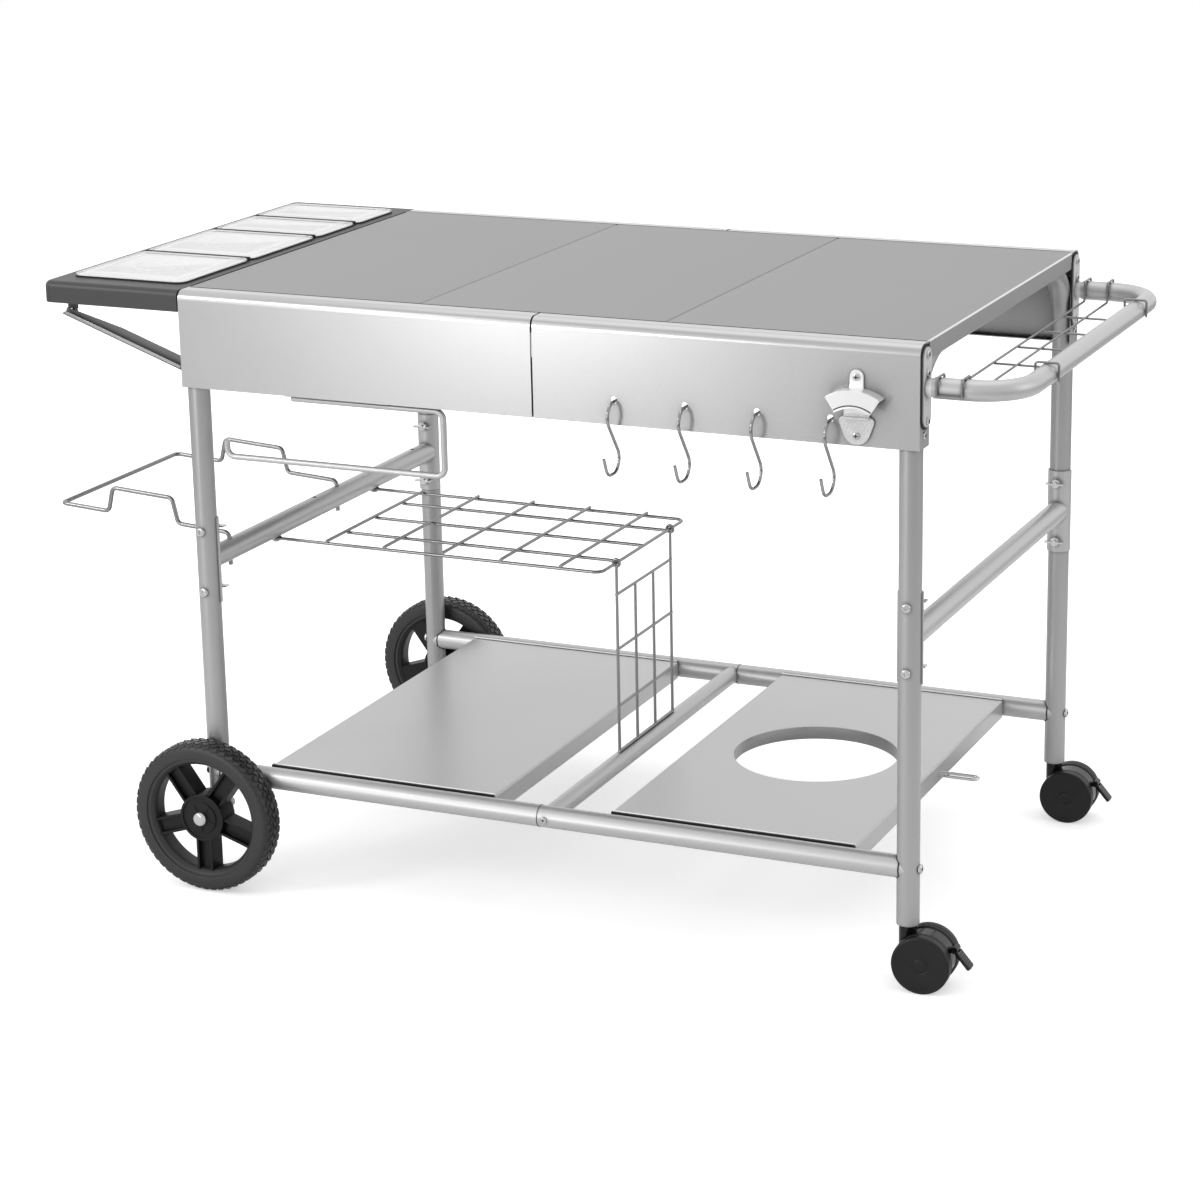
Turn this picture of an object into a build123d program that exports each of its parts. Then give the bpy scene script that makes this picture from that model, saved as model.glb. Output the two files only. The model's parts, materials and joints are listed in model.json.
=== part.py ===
from build123d import *
import math
import os

os.makedirs("parts", exist_ok=True)

# Grill cart. X runs along the cart towards the push handle, Y to the rear, Z up from the floor.
# All driving dimensions are in millimetres, and angles in degrees.

# Tube frame
LEG_PITCH_X = 970.0
LEG_PITCH_Y = 630.0
TUBE_D = 28.6
TUBE_WALL = 1.4
FRAME_BEND_R = 90.0
LEG_JOINT_DROP = 16.0
PLUG_LENGTH = 36.0
PLUG_WELD = 12.0
SLIP = 0.1

# Worktop and aprons
WORKTOP_Z = 806.0
SHEET = 1.2
APRON_H = 126.0
APRON_ROLL_R = 12.0
APRON_FLANGE_W = 28.0
APRON_LEDGE_W = 14.0
APRON_RETURN_W = 14.0
APRON_RETURN_CLEAR = 3.0
APRON_END_W = 34.0
APRON_GAP = 2.4
APRON_SCREW_DROP = 110.0
SPLICE_W = 60.0
SPLICE_H = 30.0
SPLICE_DROP = 8.0
PANEL_COUNT = 3
PANEL_GAP = 0.8
PANEL_FLANGE_H = 22.0
REST_GAP = 0.3
LEDGE_CLEAR = 2.0
CUT_OVER = 1.0

# Cross rails and their saddles
CROSS_Z = 446.0
SADDLE_T = 2.0
SADDLE_H = 114.0
SADDLE_BOLT_RISE = 41.0
BOLT_D = 6.0
BOLT_HEAD_D = 12.0
BOLT_HEAD_H = 3.6
BOLT_END = 3.0
WING_HUB_D = 12.0
WING_HUB_H = 7.0
WING_SPAN = 26.0
WING_H = 11.0
WING_T = 2.2
WING_FOOT = 2.0
WING_NOTCH_W = 6.0

# Bottom rails, crossbar and lower shelves
RAIL_Z = 153.0
RAIL_JOINT_OFFSET = 10.0
RAIL_PLUG_LENGTH = 46.0
END_DISC_T = 10.0
END_DISC_INSET = 6.0
CROSSBAR_D = 24.0
SHELF_LENGTH = 331.0
SHELF_CENTRE_X = 247.0
SHELF_TOP_RISE = 12.5
SHELF_FLANGE_H = 25.0
SHELF_EDGE_R = 3.0
SHELF_SCREW_INSET = 55.0
TANK_HOLE_D = 220.0
TANK_RIM_H = 8.0
TANK_SCREW_Y = 20.0
TANK_SCREW_DROP = 14.0
TANK_SCREW_D = 8.0
TANK_SCREW_TIP = 44.0
TANK_SCREW_NECK = 14.0
TANK_NUT_D = 18.0
TANK_NUT_H = 8.0
TANK_LOOP_LENGTH = 40.0
TANK_LOOP_W = 17.0
TANK_LOOP_WIRE_D = 4.0
TANK_LOOP_BEND_R = 5.8

# Small screws
SCREW_D = 4.0
SCREW_HEAD_D = 9.0
SCREW_HEAD_H = 2.4
SCREW_BEYOND = 6.0
HEAD_ROUND_SHARE = 0.6
RECESS_W = 1.1
RECESS_SPAN = 5.0
RECESS_DEPTH = 1.2

# Large wheels
WHEEL_D = 206.0
WHEEL_W = 38.0
WHEEL_GAP = 2.5
TYRE_DEPTH = 30.0
TYRE_ROUND = 9.0
WHEEL_HUB_D = 62.0
WHEEL_HUB_RECESS = 3.0
HUB_GROOVE_W = 7.0
HUB_GROOVE_DEPTH = 2.0
WHEEL_SPOKES = 5
SPOKE_W = 24.0
SPOKE_INSET = 6.0
SPOKE_POCKET_DEPTH = 7.0
SPOKE_RIB_W = 3.5
AXLE_D = 10.0
AXLE_HEAD_D = 17.0
AXLE_HEAD_H = 6.0
AXLE_NUT_D = 20.0
AXLE_NUT_H = 8.0
AXLE_NUT_ROUND = 4.8
RUN_CLEAR = 0.05
LEG_BELOW_AXLE = 18.0

# Casters
CASTER_LEG_END_Z = 82.0
CASTER_WHEEL_D = 74.0
CASTER_DISC_W = 19.0
CASTER_DISC_GAP = 20.0
CASTER_DISC_ROUND = 3.0
CASTER_TRAIL = 23.0
CASTER_TURN = 3.0
CASTER_AXLE_D = 8.0
CASTER_AXLE_INSET = 1.0
CASTER_STEM_D = 9.0
CASTER_STEM_REACH = 26.0
CASTER_PLUG_LENGTH = 34.0
CASTER_COLLAR_H = 3.0
CASTER_NECK_D = 22.0
CASTER_FENDER_INSET = 1.5
CASTER_FENDER_BELOW = 8.0
CASTER_SIDE_CLEAR = 0.8
BRAKE_PIVOT_ANGLE = 25.0
BRAKE_KNUCKLE_W = 8.0
BRAKE_ARM_W = 7.0
BRAKE_ARM_T = 6.0
BRAKE_PIN_D = 4.0
BRAKE_KNUCKLE_D = 9.0
BRAKE_PEDAL_CLEAR = 1.0
BRAKE_PEDAL_LENGTH = 25.0
BRAKE_PEDAL_W = 17.0
BRAKE_PEDAL_T = 4.5
BRAKE_PEDAL_TILT = -50.0
BRAKE_EAR_T = 3.0

# Push handle and its rack
HANDLE_D = 25.4
HANDLE_WALL = 1.2
HANDLE_INSET = 3.0
HANDLE_REACH = 114.0
HANDLE_DROP = 52.5
HANDLE_BEND_R = 62.0
HANDLE_NECK = 9.0
STUB_LENGTH = 36.0
BRACKET_T = 3.0
BRACKET_W = 28.0
BRACKET_H = 96.0
BRACKET_SCREW_RISES = (39.5, 17.0, -41.0)
RACK_WIRE_D = 3.0
RACK_LOOP_OFFSETS = (6.5, 37.5)
RACK_FLOOR_DROP = 12.0
RACK_HOOK_DROP = 7.5
RACK_BEND_R = 3.3
RACK_CROSS_PITCH = 100.0
RACK_CROSS_COUNT = 5
WIRE_WELD = 0.5

# Side shelf, struts and hinges
SIDE_MARGIN_IN = 13.75
SIDE_MARGIN_OUT = 22.75
SIDE_MARGIN_Y = 38.0
SIDE_H = 28.0
SIDE_WALL = 2.5
SIDE_EDGE_R = 8.0
SIDE_CORNER_R = 14.0
SIDE_GAP = 2.0
HINGE_Y = 190.0
HINGE_DROP = 11.0
HINGE_INSET = 7.5
HINGE_KNUCKLE_D = 10.0
HINGE_KNUCKLE_L = 16.0
HINGE_PIN_D = 5.0
HINGE_PIN_END = 1.0
HINGE_EAR_T = 3.0
HINGE_LEAF_T = 1.5
HINGE_ARM_T = 2.0
STRUT_INSET = 15.0
STRUT_PIVOT_OUT = 9.5
STRUT_PIVOT_DROP = 103.5
STRUT_ANGLE = 19.5
STRUT_LUG_INSET = 22.4
STRUT_W = 14.0
STRUT_TIP_W = 7.0
STRUT_KINK = 105.0
STRUT_T = 2.0
STRUT_FLANGE_W = 10.0
STRUT_PIN_D = 6.0
STRUT_PIN_END = 1.5
STRUT_PEG_D = 6.0
STRUT_PEG_L = 12.0
STRUT_PEG_INSET = 6.0
STRUT_EAR_T = 3.0
STRUT_FOOT_T = 2.0
STRUT_FOOT_H = 26.0
LUG_W = 14.0
LUG_T = 3.0

# Condiment trays and lids
TRAY_RIM_X = 168.0
TRAY_RIM_YS = (174.0, 174.0, 112.0, 112.0)
TRAY_GAP = 4.0
TRAY_RIM_T = 1.0
TRAY_LIP = 8.0
TRAY_WALL = 0.9
TRAY_DEPTH = 24.0
TRAY_CORNER_R = 14.0
TRAY_BODY_R = 10.0
TRAY_FLOOR_R = 5.0
TRAY_FIT = 1.0
LID_T = 1.5
LID_BEAD_W = 4.0
LID_BEAD_H = 2.6
LID_RING_D = 74.0
LID_RING_W = 2.4
LID_RING_H = 1.0

# Wire shelf and hanging grid
SHELF_WIRE_D = 4.4
WIRE_SHELF_W = 280.0
WIRE_SHELF_END_X = 0.0
WIRE_SHELF_CORNER_R = 12.0
WIRE_SHELF_LONGS = 3
WIRE_SHELF_LONG_PITCH = 81.0
WIRE_SHELF_CROSSES = 5
WIRE_SHELF_CROSS_FIRST = 80.0
WIRE_SHELF_CROSS_PITCH = 87.0
EYELET_R = 6.0
GRID_WIRE_D = 4.0
GRID_W = 180.0
GRID_VERTICALS = 4
GRID_CROSS_DROPS = (43.5, 119.5, 198.5)
GRID_LOOP_CLEAR = 0.5

# Bag holder
BAG_WIRE_D = 6.0
BAG_HOLE_FAR = 260.0
BAG_HOLE_NEAR = 32.0
BAG_HOLE_CLEAR = 0.4
BAG_REACH = 260.0
BAG_PIN_BELOW = 7.0
BAG_ARM_RISE = 5.0
BAG_SLOPE = 3.7
BAG_STEP_H = 34.0
BAG_STEP_NEAR = 82.0
BAG_STEP_FAR = 182.0
BAG_BEND_R = 8.0

# Towel rod, hooks and opener
TOWEL_ROD_D = 8.0
TOWEL_TOP_X = (-345.0, -130.0)
TOWEL_END_X = -445.0
TOWEL_DROP = 84.0
TOWEL_TIP = 20.0
TOWEL_BEND_R = 11.0
TOWEL_INSET = 12.0
TOWEL_STRIP_X = (-352.0, -205.0)
TOWEL_STRIP_W = 14.0
TOWEL_STRIP_T = 2.0
TOWEL_SCREWS = 3
TOWEL_SCREW_INSET = 8.0
TOWEL_SCREW_OFFSET = 4.0
HOOK_FIRST_X = 109.6
HOOK_PITCH = 93.3
HOOK_COUNT = 4
HOOK_DROP = 95.0
HOOK_WIRE_D = 4.0
HOOK_HOLE_D = 9.0
HOOK_LENGTH = 89.0
HOOK_TAIL = 15.0
HOOK_TAIL_IN = 22.0
HOOK_TOP_OUT = 36.5
HOOK_LOW_IN = 29.5
HOOK_TOE_OUT = 21.5
HOOK_TIP = 24.5
HOOK_TIP_OUT = 32.5
HOOK_BEND_R = 10.0
HOOK_CURVE_R = 17.0
OPENER_X = 423.0
OPENER_TOP_DROP = 42.0
OPENER_SPAN = 71.0
OPENER_LUG_W = 17.0
OPENER_TIP_R = 17.0
OPENER_TIP_EDGE = 11.0
OPENER_T = 3.0
OPENER_SHIELD_W = 44.0
OPENER_SHIELD_DROP = 48.0
OPENER_SHIELD_R = 6.0
OPENER_LIP_H = 3.0
OPENER_LIP_OUT = 5.5
OPENER_HOOD_R = 62.0
OPENER_HOOD_W = 68.0
OPENER_HOOD_H = 21.0
OPENER_HOOD_T = 3.0
OPENER_HOOD_OUT = 19.0
OPENER_HOOD_DROP = 13.0

# Sizes worked out from the driving dimensions
LEG_X = LEG_PITCH_X / 2
LEG_Y = LEG_PITCH_Y / 2
TUBE_R = TUBE_D / 2
LEG_JOINT_Z = CROSS_Z - LEG_JOINT_DROP
TUBE_BORE_R = TUBE_R - TUBE_WALL
SIDE_PLANE_X = LEG_X + TUBE_R
END_X = SIDE_PLANE_X + SHEET
APRON_Y = LEG_Y + TUBE_R + SHEET
APRON_BOTTOM = WORKTOP_Z - APRON_H
APRON_SCREW_Z = WORKTOP_Z - APRON_SCREW_DROP
PANEL_HALF_Y = APRON_Y - APRON_FLANGE_W - PANEL_GAP / 2
FRAME_TOP_Z = WORKTOP_Z - SHEET - REST_GAP - TUBE_R
BOLT_R = BOLT_D / 2
RAIL_INNER_Y = LEG_Y - TUBE_R
SHELF_TOP_Z = RAIL_Z + SHELF_TOP_RISE
WHEEL_R = WHEEL_D / 2
WHEEL_INNER_Y = LEG_Y + TUBE_R + WHEEL_GAP
HUB_INNER_Y = WHEEL_INNER_Y + WHEEL_HUB_RECESS
HUB_OUTER_Y = WHEEL_INNER_Y + WHEEL_W - WHEEL_HUB_RECESS
CASTER_R = CASTER_WHEEL_D / 2
HANDLE_R = HANDLE_D / 2
HANDLE_X = END_X + HANDLE_REACH
HANDLE_Y = LEG_Y - HANDLE_INSET
HANDLE_Z = WORKTOP_Z - HANDLE_DROP
BRACKET_OUT_X = END_X + BRACKET_T
TRAYS_WIDTH = sum(TRAY_RIM_YS) + TRAY_GAP * (len(TRAY_RIM_YS) - 1)
SIDE_LENGTH = TRAY_RIM_X + SIDE_MARGIN_IN + SIDE_MARGIN_OUT
SIDE_WIDTH = TRAYS_WIDTH + 2 * SIDE_MARGIN_Y
SIDE_INNER_X = -(END_X + SIDE_GAP)
SIDE_OUTER_X = SIDE_INNER_X - SIDE_LENGTH
SIDE_BOTTOM_Z = WORKTOP_Z - SIDE_H
HINGE_X = SIDE_INNER_X - HINGE_INSET
HINGE_Z = SIDE_BOTTOM_Z - HINGE_DROP
STRUT_PIVOT_X = -(END_X + STRUT_PIVOT_OUT)
STRUT_PIVOT_Z = WORKTOP_Z - STRUT_PIVOT_DROP
STRUT_Y = LEG_Y - STRUT_INSET
WIRE_R = SHELF_WIRE_D / 2
WIRE_SHELF_Z = CROSS_Z - TUBE_R - WIRE_R
HOOK_Z = WORKTOP_Z - HOOK_DROP
RACK_R = RACK_WIRE_D / 2
STAPLE_OUT_X = HANDLE_X + HANDLE_R + REST_GAP + RACK_WIRE_D
BAG_END_X = -LEG_X - BAG_REACH
LEFT_END_X = BAG_END_X - BAG_WIRE_D / 2
ORIGIN_X = (LEFT_END_X + STAPLE_OUT_X) / 2


# Shared helpers
def box(x0, x1, y0, y1, z0, z1):
    """A box between two corners."""
    centre = Pos((x0 + x1) / 2, (y0 + y1) / 2, (z0 + z1) / 2)
    return centre * Box(abs(x1 - x0), abs(y1 - y0), abs(z1 - z0))


def bar(start, end, radius):
    """A round bar between two points."""
    a = Vector(*start)
    b = Vector(*end)
    plane = Plane(origin=a, z_dir=b - a)
    return extrude(plane * Circle(radius), amount=(b - a).length)


def pipe(start, end, radius, wall):
    """A straight tube between two points."""
    return bar(start, end, radius) - bar(start, end, radius - wall)


def swept(points, bend, radius):
    """A round section swept along straight runs with rounded corners."""
    path = FilletPolyline(*points, radius=bend)
    plane = Plane(origin=path @ 0, z_dir=path % 0)
    return sweep(plane * Circle(radius), path=path)


def bent_pipe(points, bend, radius, wall):
    """A tube bent along straight runs with rounded corners."""
    return swept(points, bend, radius) - swept(points, bend, radius - wall)


def ring(centre, axis, major, minor):
    """A closed wire ring."""
    plane = Plane(origin=centre, z_dir=axis)
    return plane.location * Torus(major, minor)


def fused(pieces):
    """Join a list of pieces into one."""
    whole = pieces[0]
    for piece in pieces[1:]:
        whole = whole + piece
    return whole


def turned(piece):
    """The same piece at the opposite corner of the cart."""
    return Rot(0, 0, 180) * piece


def save(name, *pieces):
    """Write one node, moved so that the origin lies under the middle of the whole cart."""
    solids = [solid for piece in pieces for solid in piece.solids()]
    moved = [Pos(-ORIGIN_X, 0, 0) * solid for solid in solids]
    shape = moved[0] if len(moved) == 1 else Compound(children=moved)
    export_step(shape, f"parts/{name}.step")
    print(name, len(moved), "solids")


# Screws and bolts: a head on the surface at a point, and a shank along a direction
def screw(point, direction, length, shank_d=SCREW_D, head_d=SCREW_HEAD_D, head_h=SCREW_HEAD_H):
    seat = Plane(origin=point, z_dir=direction)
    head = extrude(seat * Circle(head_d / 2), amount=-head_h)
    crown = seat.from_local_coords((0, 0, -head_h))
    rim = head.edges().filter_by(GeomType.CIRCLE).sort_by_distance(crown)[0]
    head = fillet(rim, head_h * HEAD_ROUND_SHARE)
    top = Plane(origin=crown, z_dir=direction, x_dir=seat.x_dir)
    cross = Rectangle(RECESS_SPAN, RECESS_W) + Rectangle(RECESS_W, RECESS_SPAN)
    head = head - extrude(top * cross, amount=RECESS_DEPTH)
    return head + extrude(seat * Circle(shank_d / 2), amount=length)


def shank_hole(point, direction, length, shank_d=SCREW_D):
    """The hole that a screw's shank passes through."""
    seat = Plane(origin=point, z_dir=direction)
    return extrude(seat * Circle(shank_d / 2 + SLIP / 2), amount=length)


def drilled(piece, places):
    """A piece with the holes for a list of screws."""
    for place in places:
        piece = piece - shank_hole(*place)
    return piece


# Places of the fasteners, as point, direction, length and shank diameter
SADDLE_BOLT_LENGTH = TUBE_D + SADDLE_T + WING_HUB_H + BOLT_END
saddle_bolt_places = []
for sx in (-1, 1):
    for sy in (-1, 1):
        for rise in (-SADDLE_BOLT_RISE, SADDLE_BOLT_RISE):
            spot = (sx * LEG_X, sy * (LEG_Y + TUBE_R), CROSS_Z + rise)
            saddle_bolt_places.append((spot, (0, -sy, 0), SADDLE_BOLT_LENGTH, BOLT_D))

RAIL_BOLT_LENGTH = TUBE_D + END_DISC_INSET + END_DISC_T
rail_bolt_places = []
for sx in (-1, 1):
    for sy in (-1, 1):
        spot = (sx * SIDE_PLANE_X, sy * LEG_Y, RAIL_Z)
        rail_bolt_places.append((spot, (-sx, 0, 0), RAIL_BOLT_LENGTH, BOLT_D))

CROSSBAR_SCREW_LENGTH = TUBE_D + END_DISC_INSET + END_DISC_T
crossbar_screw_places = []
for sy in (-1, 1):
    spot = (0, sy * (LEG_Y + TUBE_R), RAIL_Z)
    crossbar_screw_places.append((spot, (0, -sy, 0), CROSSBAR_SCREW_LENGTH, SCREW_D))

shelf_screw_places = []
for cx in (-SHELF_CENTRE_X, SHELF_CENTRE_X):
    for sx in (-1, 1):
        for sy in (-1, 1):
            x = cx + sx * (SHELF_LENGTH / 2 - SHELF_SCREW_INSET)
            spot = (x, sy * (RAIL_INNER_Y - SHEET), RAIL_Z)
            shelf_screw_places.append((spot, (0, sy, 0), SHEET + TUBE_WALL + SCREW_BEYOND, SCREW_D))

apron_screw_places = []
for sx in (-1, 1):
    for sy in (-1, 1):
        under_head = STRUT_FOOT_T if sx < 0 else 0.0
        spot = (sx * (END_X + under_head), sy * LEG_Y, APRON_SCREW_Z)
        length = under_head + SHEET + TUBE_WALL + SCREW_BEYOND
        apron_screw_places.append((spot, (-sx, 0, 0), length, SCREW_D))

bracket_screw_places = []
for sy in (-1, 1):
    for rise in BRACKET_SCREW_RISES:
        spot = (BRACKET_OUT_X, sy * HANDLE_Y, HANDLE_Z + rise)
        length = BRACKET_T + SHEET + TUBE_WALL + SCREW_BEYOND
        bracket_screw_places.append((spot, (-1, 0, 0), length, SCREW_D))

HINGE_SCREW_Y = HINGE_KNUCKLE_L / 2 + HINGE_EAR_T + SCREW_HEAD_D
HINGE_LEAF_X = -(END_X + HINGE_LEAF_T)
hinge_screw_places = []
for sy in (-1, 1):
    for side in (-1, 1):
        spot = (-SIDE_PLANE_X + 2 * TUBE_R, sy * HINGE_Y + side * HINGE_SCREW_Y, FRAME_TOP_Z)
        length = 2 * TUBE_R + SHEET + HINGE_LEAF_T
        hinge_screw_places.append((spot, (-1, 0, 0), length, SCREW_D))

eyelet_screw_places = []
for sy in (-1, 1):
    spot = (-LEG_X, sy * WIRE_SHELF_W / 2, WIRE_SHELF_Z - WIRE_R)
    eyelet_screw_places.append((spot, (0, 0, 1), SHELF_WIRE_D + TUBE_WALL + SCREW_BEYOND, SCREW_D))

TOWEL_Y = -(APRON_Y - TOWEL_INSET)
TOWEL_STRIP_Z = APRON_BOTTOM - TOWEL_STRIP_T
towel_screw_span = TOWEL_STRIP_X[1] - TOWEL_STRIP_X[0] - 2 * TOWEL_SCREW_INSET
towel_screw_places = []
for step in range(TOWEL_SCREWS):
    x = TOWEL_STRIP_X[0] + TOWEL_SCREW_INSET + step * towel_screw_span / (TOWEL_SCREWS - 1)
    spot = (x, TOWEL_Y + TOWEL_SCREW_OFFSET, APRON_BOTTOM + SHEET)
    towel_screw_places.append((spot, (0, 0, -1), SHEET + TOWEL_STRIP_T, SCREW_D))

OPENER_TOP_Z = WORKTOP_Z - OPENER_TOP_DROP
opener_screw_places = []
for drop in (0, OPENER_SPAN):
    spot = (OPENER_X, -(APRON_Y + OPENER_T), OPENER_TOP_Z - drop)
    opener_screw_places.append((spot, (0, 1, 0), OPENER_T + SHEET + SCREW_BEYOND, SCREW_D))


# End frames: an upside-down U of bent tube
def end_frame(side):
    x = side * LEG_X
    points = [
        (x, -LEG_Y, LEG_JOINT_Z),
        (x, -LEG_Y, FRAME_TOP_Z),
        (x, LEG_Y, FRAME_TOP_Z),
        (x, LEG_Y, LEG_JOINT_Z),
    ]
    frame = bent_pipe(points, FRAME_BEND_R, TUBE_R, TUBE_WALL)
    upper_bolts = [p for p in saddle_bolt_places if p[0][0] * side > 0 and p[0][2] > LEG_JOINT_Z]
    holes = upper_bolts + [p for p in apron_screw_places if p[0][0] * side > 0]
    if side > 0:
        holes = holes + bracket_screw_places
    else:
        holes = holes + hinge_screw_places
    return drilled(frame, holes)


save("left_end_frame", end_frame(-1))
save("right_end_frame", end_frame(1))


# Lower legs: a tube with a swaged plug at its top
def lower_leg(sx, sy):
    x = sx * LEG_X
    y = sy * LEG_Y
    foot_z = WHEEL_R - LEG_BELOW_AXLE if sx < 0 else CASTER_LEG_END_Z
    plug_r = TUBE_BORE_R - SLIP
    leg = pipe((x, y, foot_z), (x, y, LEG_JOINT_Z), TUBE_R, TUBE_WALL)
    weld_z = LEG_JOINT_Z - PLUG_WELD
    weld = pipe((x, y, weld_z), (x, y, LEG_JOINT_Z), TUBE_R - TUBE_WALL / 2, TUBE_WALL)
    plug = pipe((x, y, weld_z), (x, y, LEG_JOINT_Z + PLUG_LENGTH), plug_r, TUBE_WALL)
    leg = leg + weld + plug
    bolts = saddle_bolt_places + rail_bolt_places
    near = [p for p in bolts if p[0][0] * sx > 0 and p[0][1] * sy > 0 and p[0][2] < LEG_JOINT_Z]
    leg = drilled(leg, near)
    if sx < 0:
        axle_hole = bar((x, y - TUBE_D, WHEEL_R), (x, y + TUBE_D, WHEEL_R), AXLE_D / 2 + SLIP)
        leg = leg - axle_hole
    return leg


save("lower_leg_front_left", lower_leg(-1, -1))
save("lower_leg_rear_left", lower_leg(-1, 1))
save("lower_leg_front_right", lower_leg(1, -1))
save("lower_leg_rear_right", lower_leg(1, 1))


# Cross rails: a tube with a half-round saddle plate welded on each end
def saddle(x, sy):
    y = sy * LEG_Y
    z0 = CROSS_Z - SADDLE_H / 2
    z1 = CROSS_Z + SADDLE_H / 2
    shell = pipe((x, y, z0), (x, y, z1), TUBE_R + SADDLE_T, SADDLE_T)
    reach = TUBE_R + SADDLE_T + CUT_OVER
    return shell - box(x - reach, x + reach, y, y + sy * reach, z0, z1)


def cross_rail(side):
    x = side * LEG_X
    rail = pipe((x, -LEG_Y, CROSS_Z), (x, LEG_Y, CROSS_Z), TUBE_R, TUBE_WALL)
    for sy in (-1, 1):
        y = sy * LEG_Y
        rail = rail - bar((x, y, CROSS_Z - TUBE_D), (x, y, CROSS_Z + TUBE_D), TUBE_R + SADDLE_T / 2)
        rail = rail + saddle(x, sy)
    rail = drilled(rail, [p for p in saddle_bolt_places if p[0][0] * side > 0])
    if side < 0:
        hole_r = BAG_WIRE_D / 2 + BAG_HOLE_CLEAR
        for y in (-BAG_HOLE_FAR, -BAG_HOLE_NEAR, BAG_HOLE_NEAR, BAG_HOLE_FAR):
            rail = rail - bar((x, y, CROSS_Z - TUBE_D), (x, y, CROSS_Z + TUBE_D), hole_r)
        rail = drilled(rail, eyelet_screw_places)
    return rail


save("left_cross_rail", cross_rail(-1))
save("right_cross_rail", cross_rail(1))


# Bottom rails: one half ends in a swaged plug, the other half is its socket
def rail_end(rail, sx):
    leg = bar((sx * LEG_X, -LEG_Y, RAIL_Z - TUBE_D), (sx * LEG_X, -LEG_Y, RAIL_Z + TUBE_D), TUBE_R)
    near = sx * (LEG_X - TUBE_R - END_DISC_INSET)
    disc = bar((near, -LEG_Y, RAIL_Z), (near - sx * END_DISC_T, -LEG_Y, RAIL_Z), TUBE_R - TUBE_WALL / 2)
    return rail - leg + disc


def plug_rail():
    joint = -RAIL_JOINT_OFFSET
    rail = pipe((-LEG_X, -LEG_Y, RAIL_Z), (joint, -LEG_Y, RAIL_Z), TUBE_R, TUBE_WALL)
    start = (joint - PLUG_WELD, -LEG_Y, RAIL_Z)
    end = (joint + RAIL_PLUG_LENGTH, -LEG_Y, RAIL_Z)
    weld = pipe(start, (joint, -LEG_Y, RAIL_Z), TUBE_R - TUBE_WALL / 2, TUBE_WALL)
    plug = pipe(start, end, TUBE_BORE_R - SLIP, TUBE_WALL)
    return rail_end(rail + weld + plug, -1)


def socket_rail():
    rail = pipe((-RAIL_JOINT_OFFSET, -LEG_Y, RAIL_Z), (LEG_X, -LEG_Y, RAIL_Z), TUBE_R, TUBE_WALL)
    return rail_end(rail, 1)


rail_screws = rail_bolt_places + crossbar_screw_places + shelf_screw_places
save("front_rail_left", drilled(plug_rail(), rail_screws))
save("front_rail_right", drilled(socket_rail(), rail_screws))
save("rear_rail_right", drilled(turned(plug_rail()), rail_screws))
save("rear_rail_left", drilled(turned(socket_rail()), rail_screws))


# Crossbar between the bottom rails, with a threaded disc in each end
def crossbar():
    tube = pipe((0, -LEG_Y, RAIL_Z), (0, LEG_Y, RAIL_Z), CROSSBAR_D / 2, TUBE_WALL)
    for sy in (-1, 1):
        tube = tube - bar((-TUBE_D, sy * LEG_Y, RAIL_Z), (TUBE_D, sy * LEG_Y, RAIL_Z), TUBE_R)
        near = sy * (RAIL_INNER_Y - END_DISC_INSET)
        far = near - sy * END_DISC_T
        tube = tube + bar((0, near, RAIL_Z), (0, far, RAIL_Z), (CROSSBAR_D - TUBE_WALL) / 2)
    return drilled(tube, crossbar_screw_places)


save("crossbar", crossbar())


# Aprons: rolled top edge, flush top flange, ledge under the panels, bottom return and end flange
def rolled_outline():
    top = WORKTOP_Z
    out = -APRON_Y
    corners = [
        (out, APRON_BOTTOM),
        (out, top),
        (out + APRON_FLANGE_W, top),
        (out + APRON_FLANGE_W, top - SHEET),
        (out + SHEET, top - SHEET),
        (out + SHEET, APRON_BOTTOM),
    ]
    face = make_face(Polyline(*corners, close=True))
    face = fillet(face.vertices().sort_by_distance((out, top))[0], APRON_ROLL_R)
    return fillet(face.vertices().sort_by_distance((out + SHEET, top - SHEET))[0], APRON_ROLL_R - SHEET)


def end_outline():
    centre = (-APRON_Y + APRON_END_W / 2, WORKTOP_Z - APRON_H / 2)
    plate = Pos(*centre) * Rectangle(APRON_END_W, APRON_H)
    return fillet(plate.vertices().sort_by_distance((-APRON_Y, WORKTOP_Z))[0], APRON_ROLL_R)


def front_apron(side):
    x0 = -END_X if side < 0 else APRON_GAP / 2
    x1 = -APRON_GAP / 2 if side < 0 else END_X
    apron = extrude(Plane.YZ.offset(x0) * rolled_outline(), amount=x1 - x0)
    ledge_y = -APRON_Y + APRON_FLANGE_W
    ledge_z = WORKTOP_Z - 2 * SHEET
    ledge_x = side * (SIDE_PLANE_X - LEDGE_CLEAR)
    ledge_in_y = ledge_y + APRON_LEDGE_W
    mid_x = side * APRON_GAP / 2
    apron = apron + box(mid_x, ledge_x, ledge_y - 2 * SHEET, ledge_in_y, ledge_z, ledge_z + SHEET)
    return_x = side * (LEG_X - TUBE_R - APRON_RETURN_CLEAR)
    return_y = -APRON_Y + APRON_RETURN_W
    apron = apron + box(mid_x, return_x, -APRON_Y, return_y, APRON_BOTTOM, APRON_BOTTOM + SHEET)
    flange_x = -END_X if side < 0 else SIDE_PLANE_X
    apron = apron + extrude(Plane.YZ.offset(flange_x) * end_outline(), amount=SHEET)
    if side < 0:
        splice_top = WORKTOP_Z - APRON_ROLL_R - SPLICE_DROP
        inner_y = -APRON_Y + SHEET
        half = SPLICE_W / 2
        apron = apron + box(-half, half, inner_y, inner_y + SHEET, splice_top - SPLICE_H, splice_top)
    return apron


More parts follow.
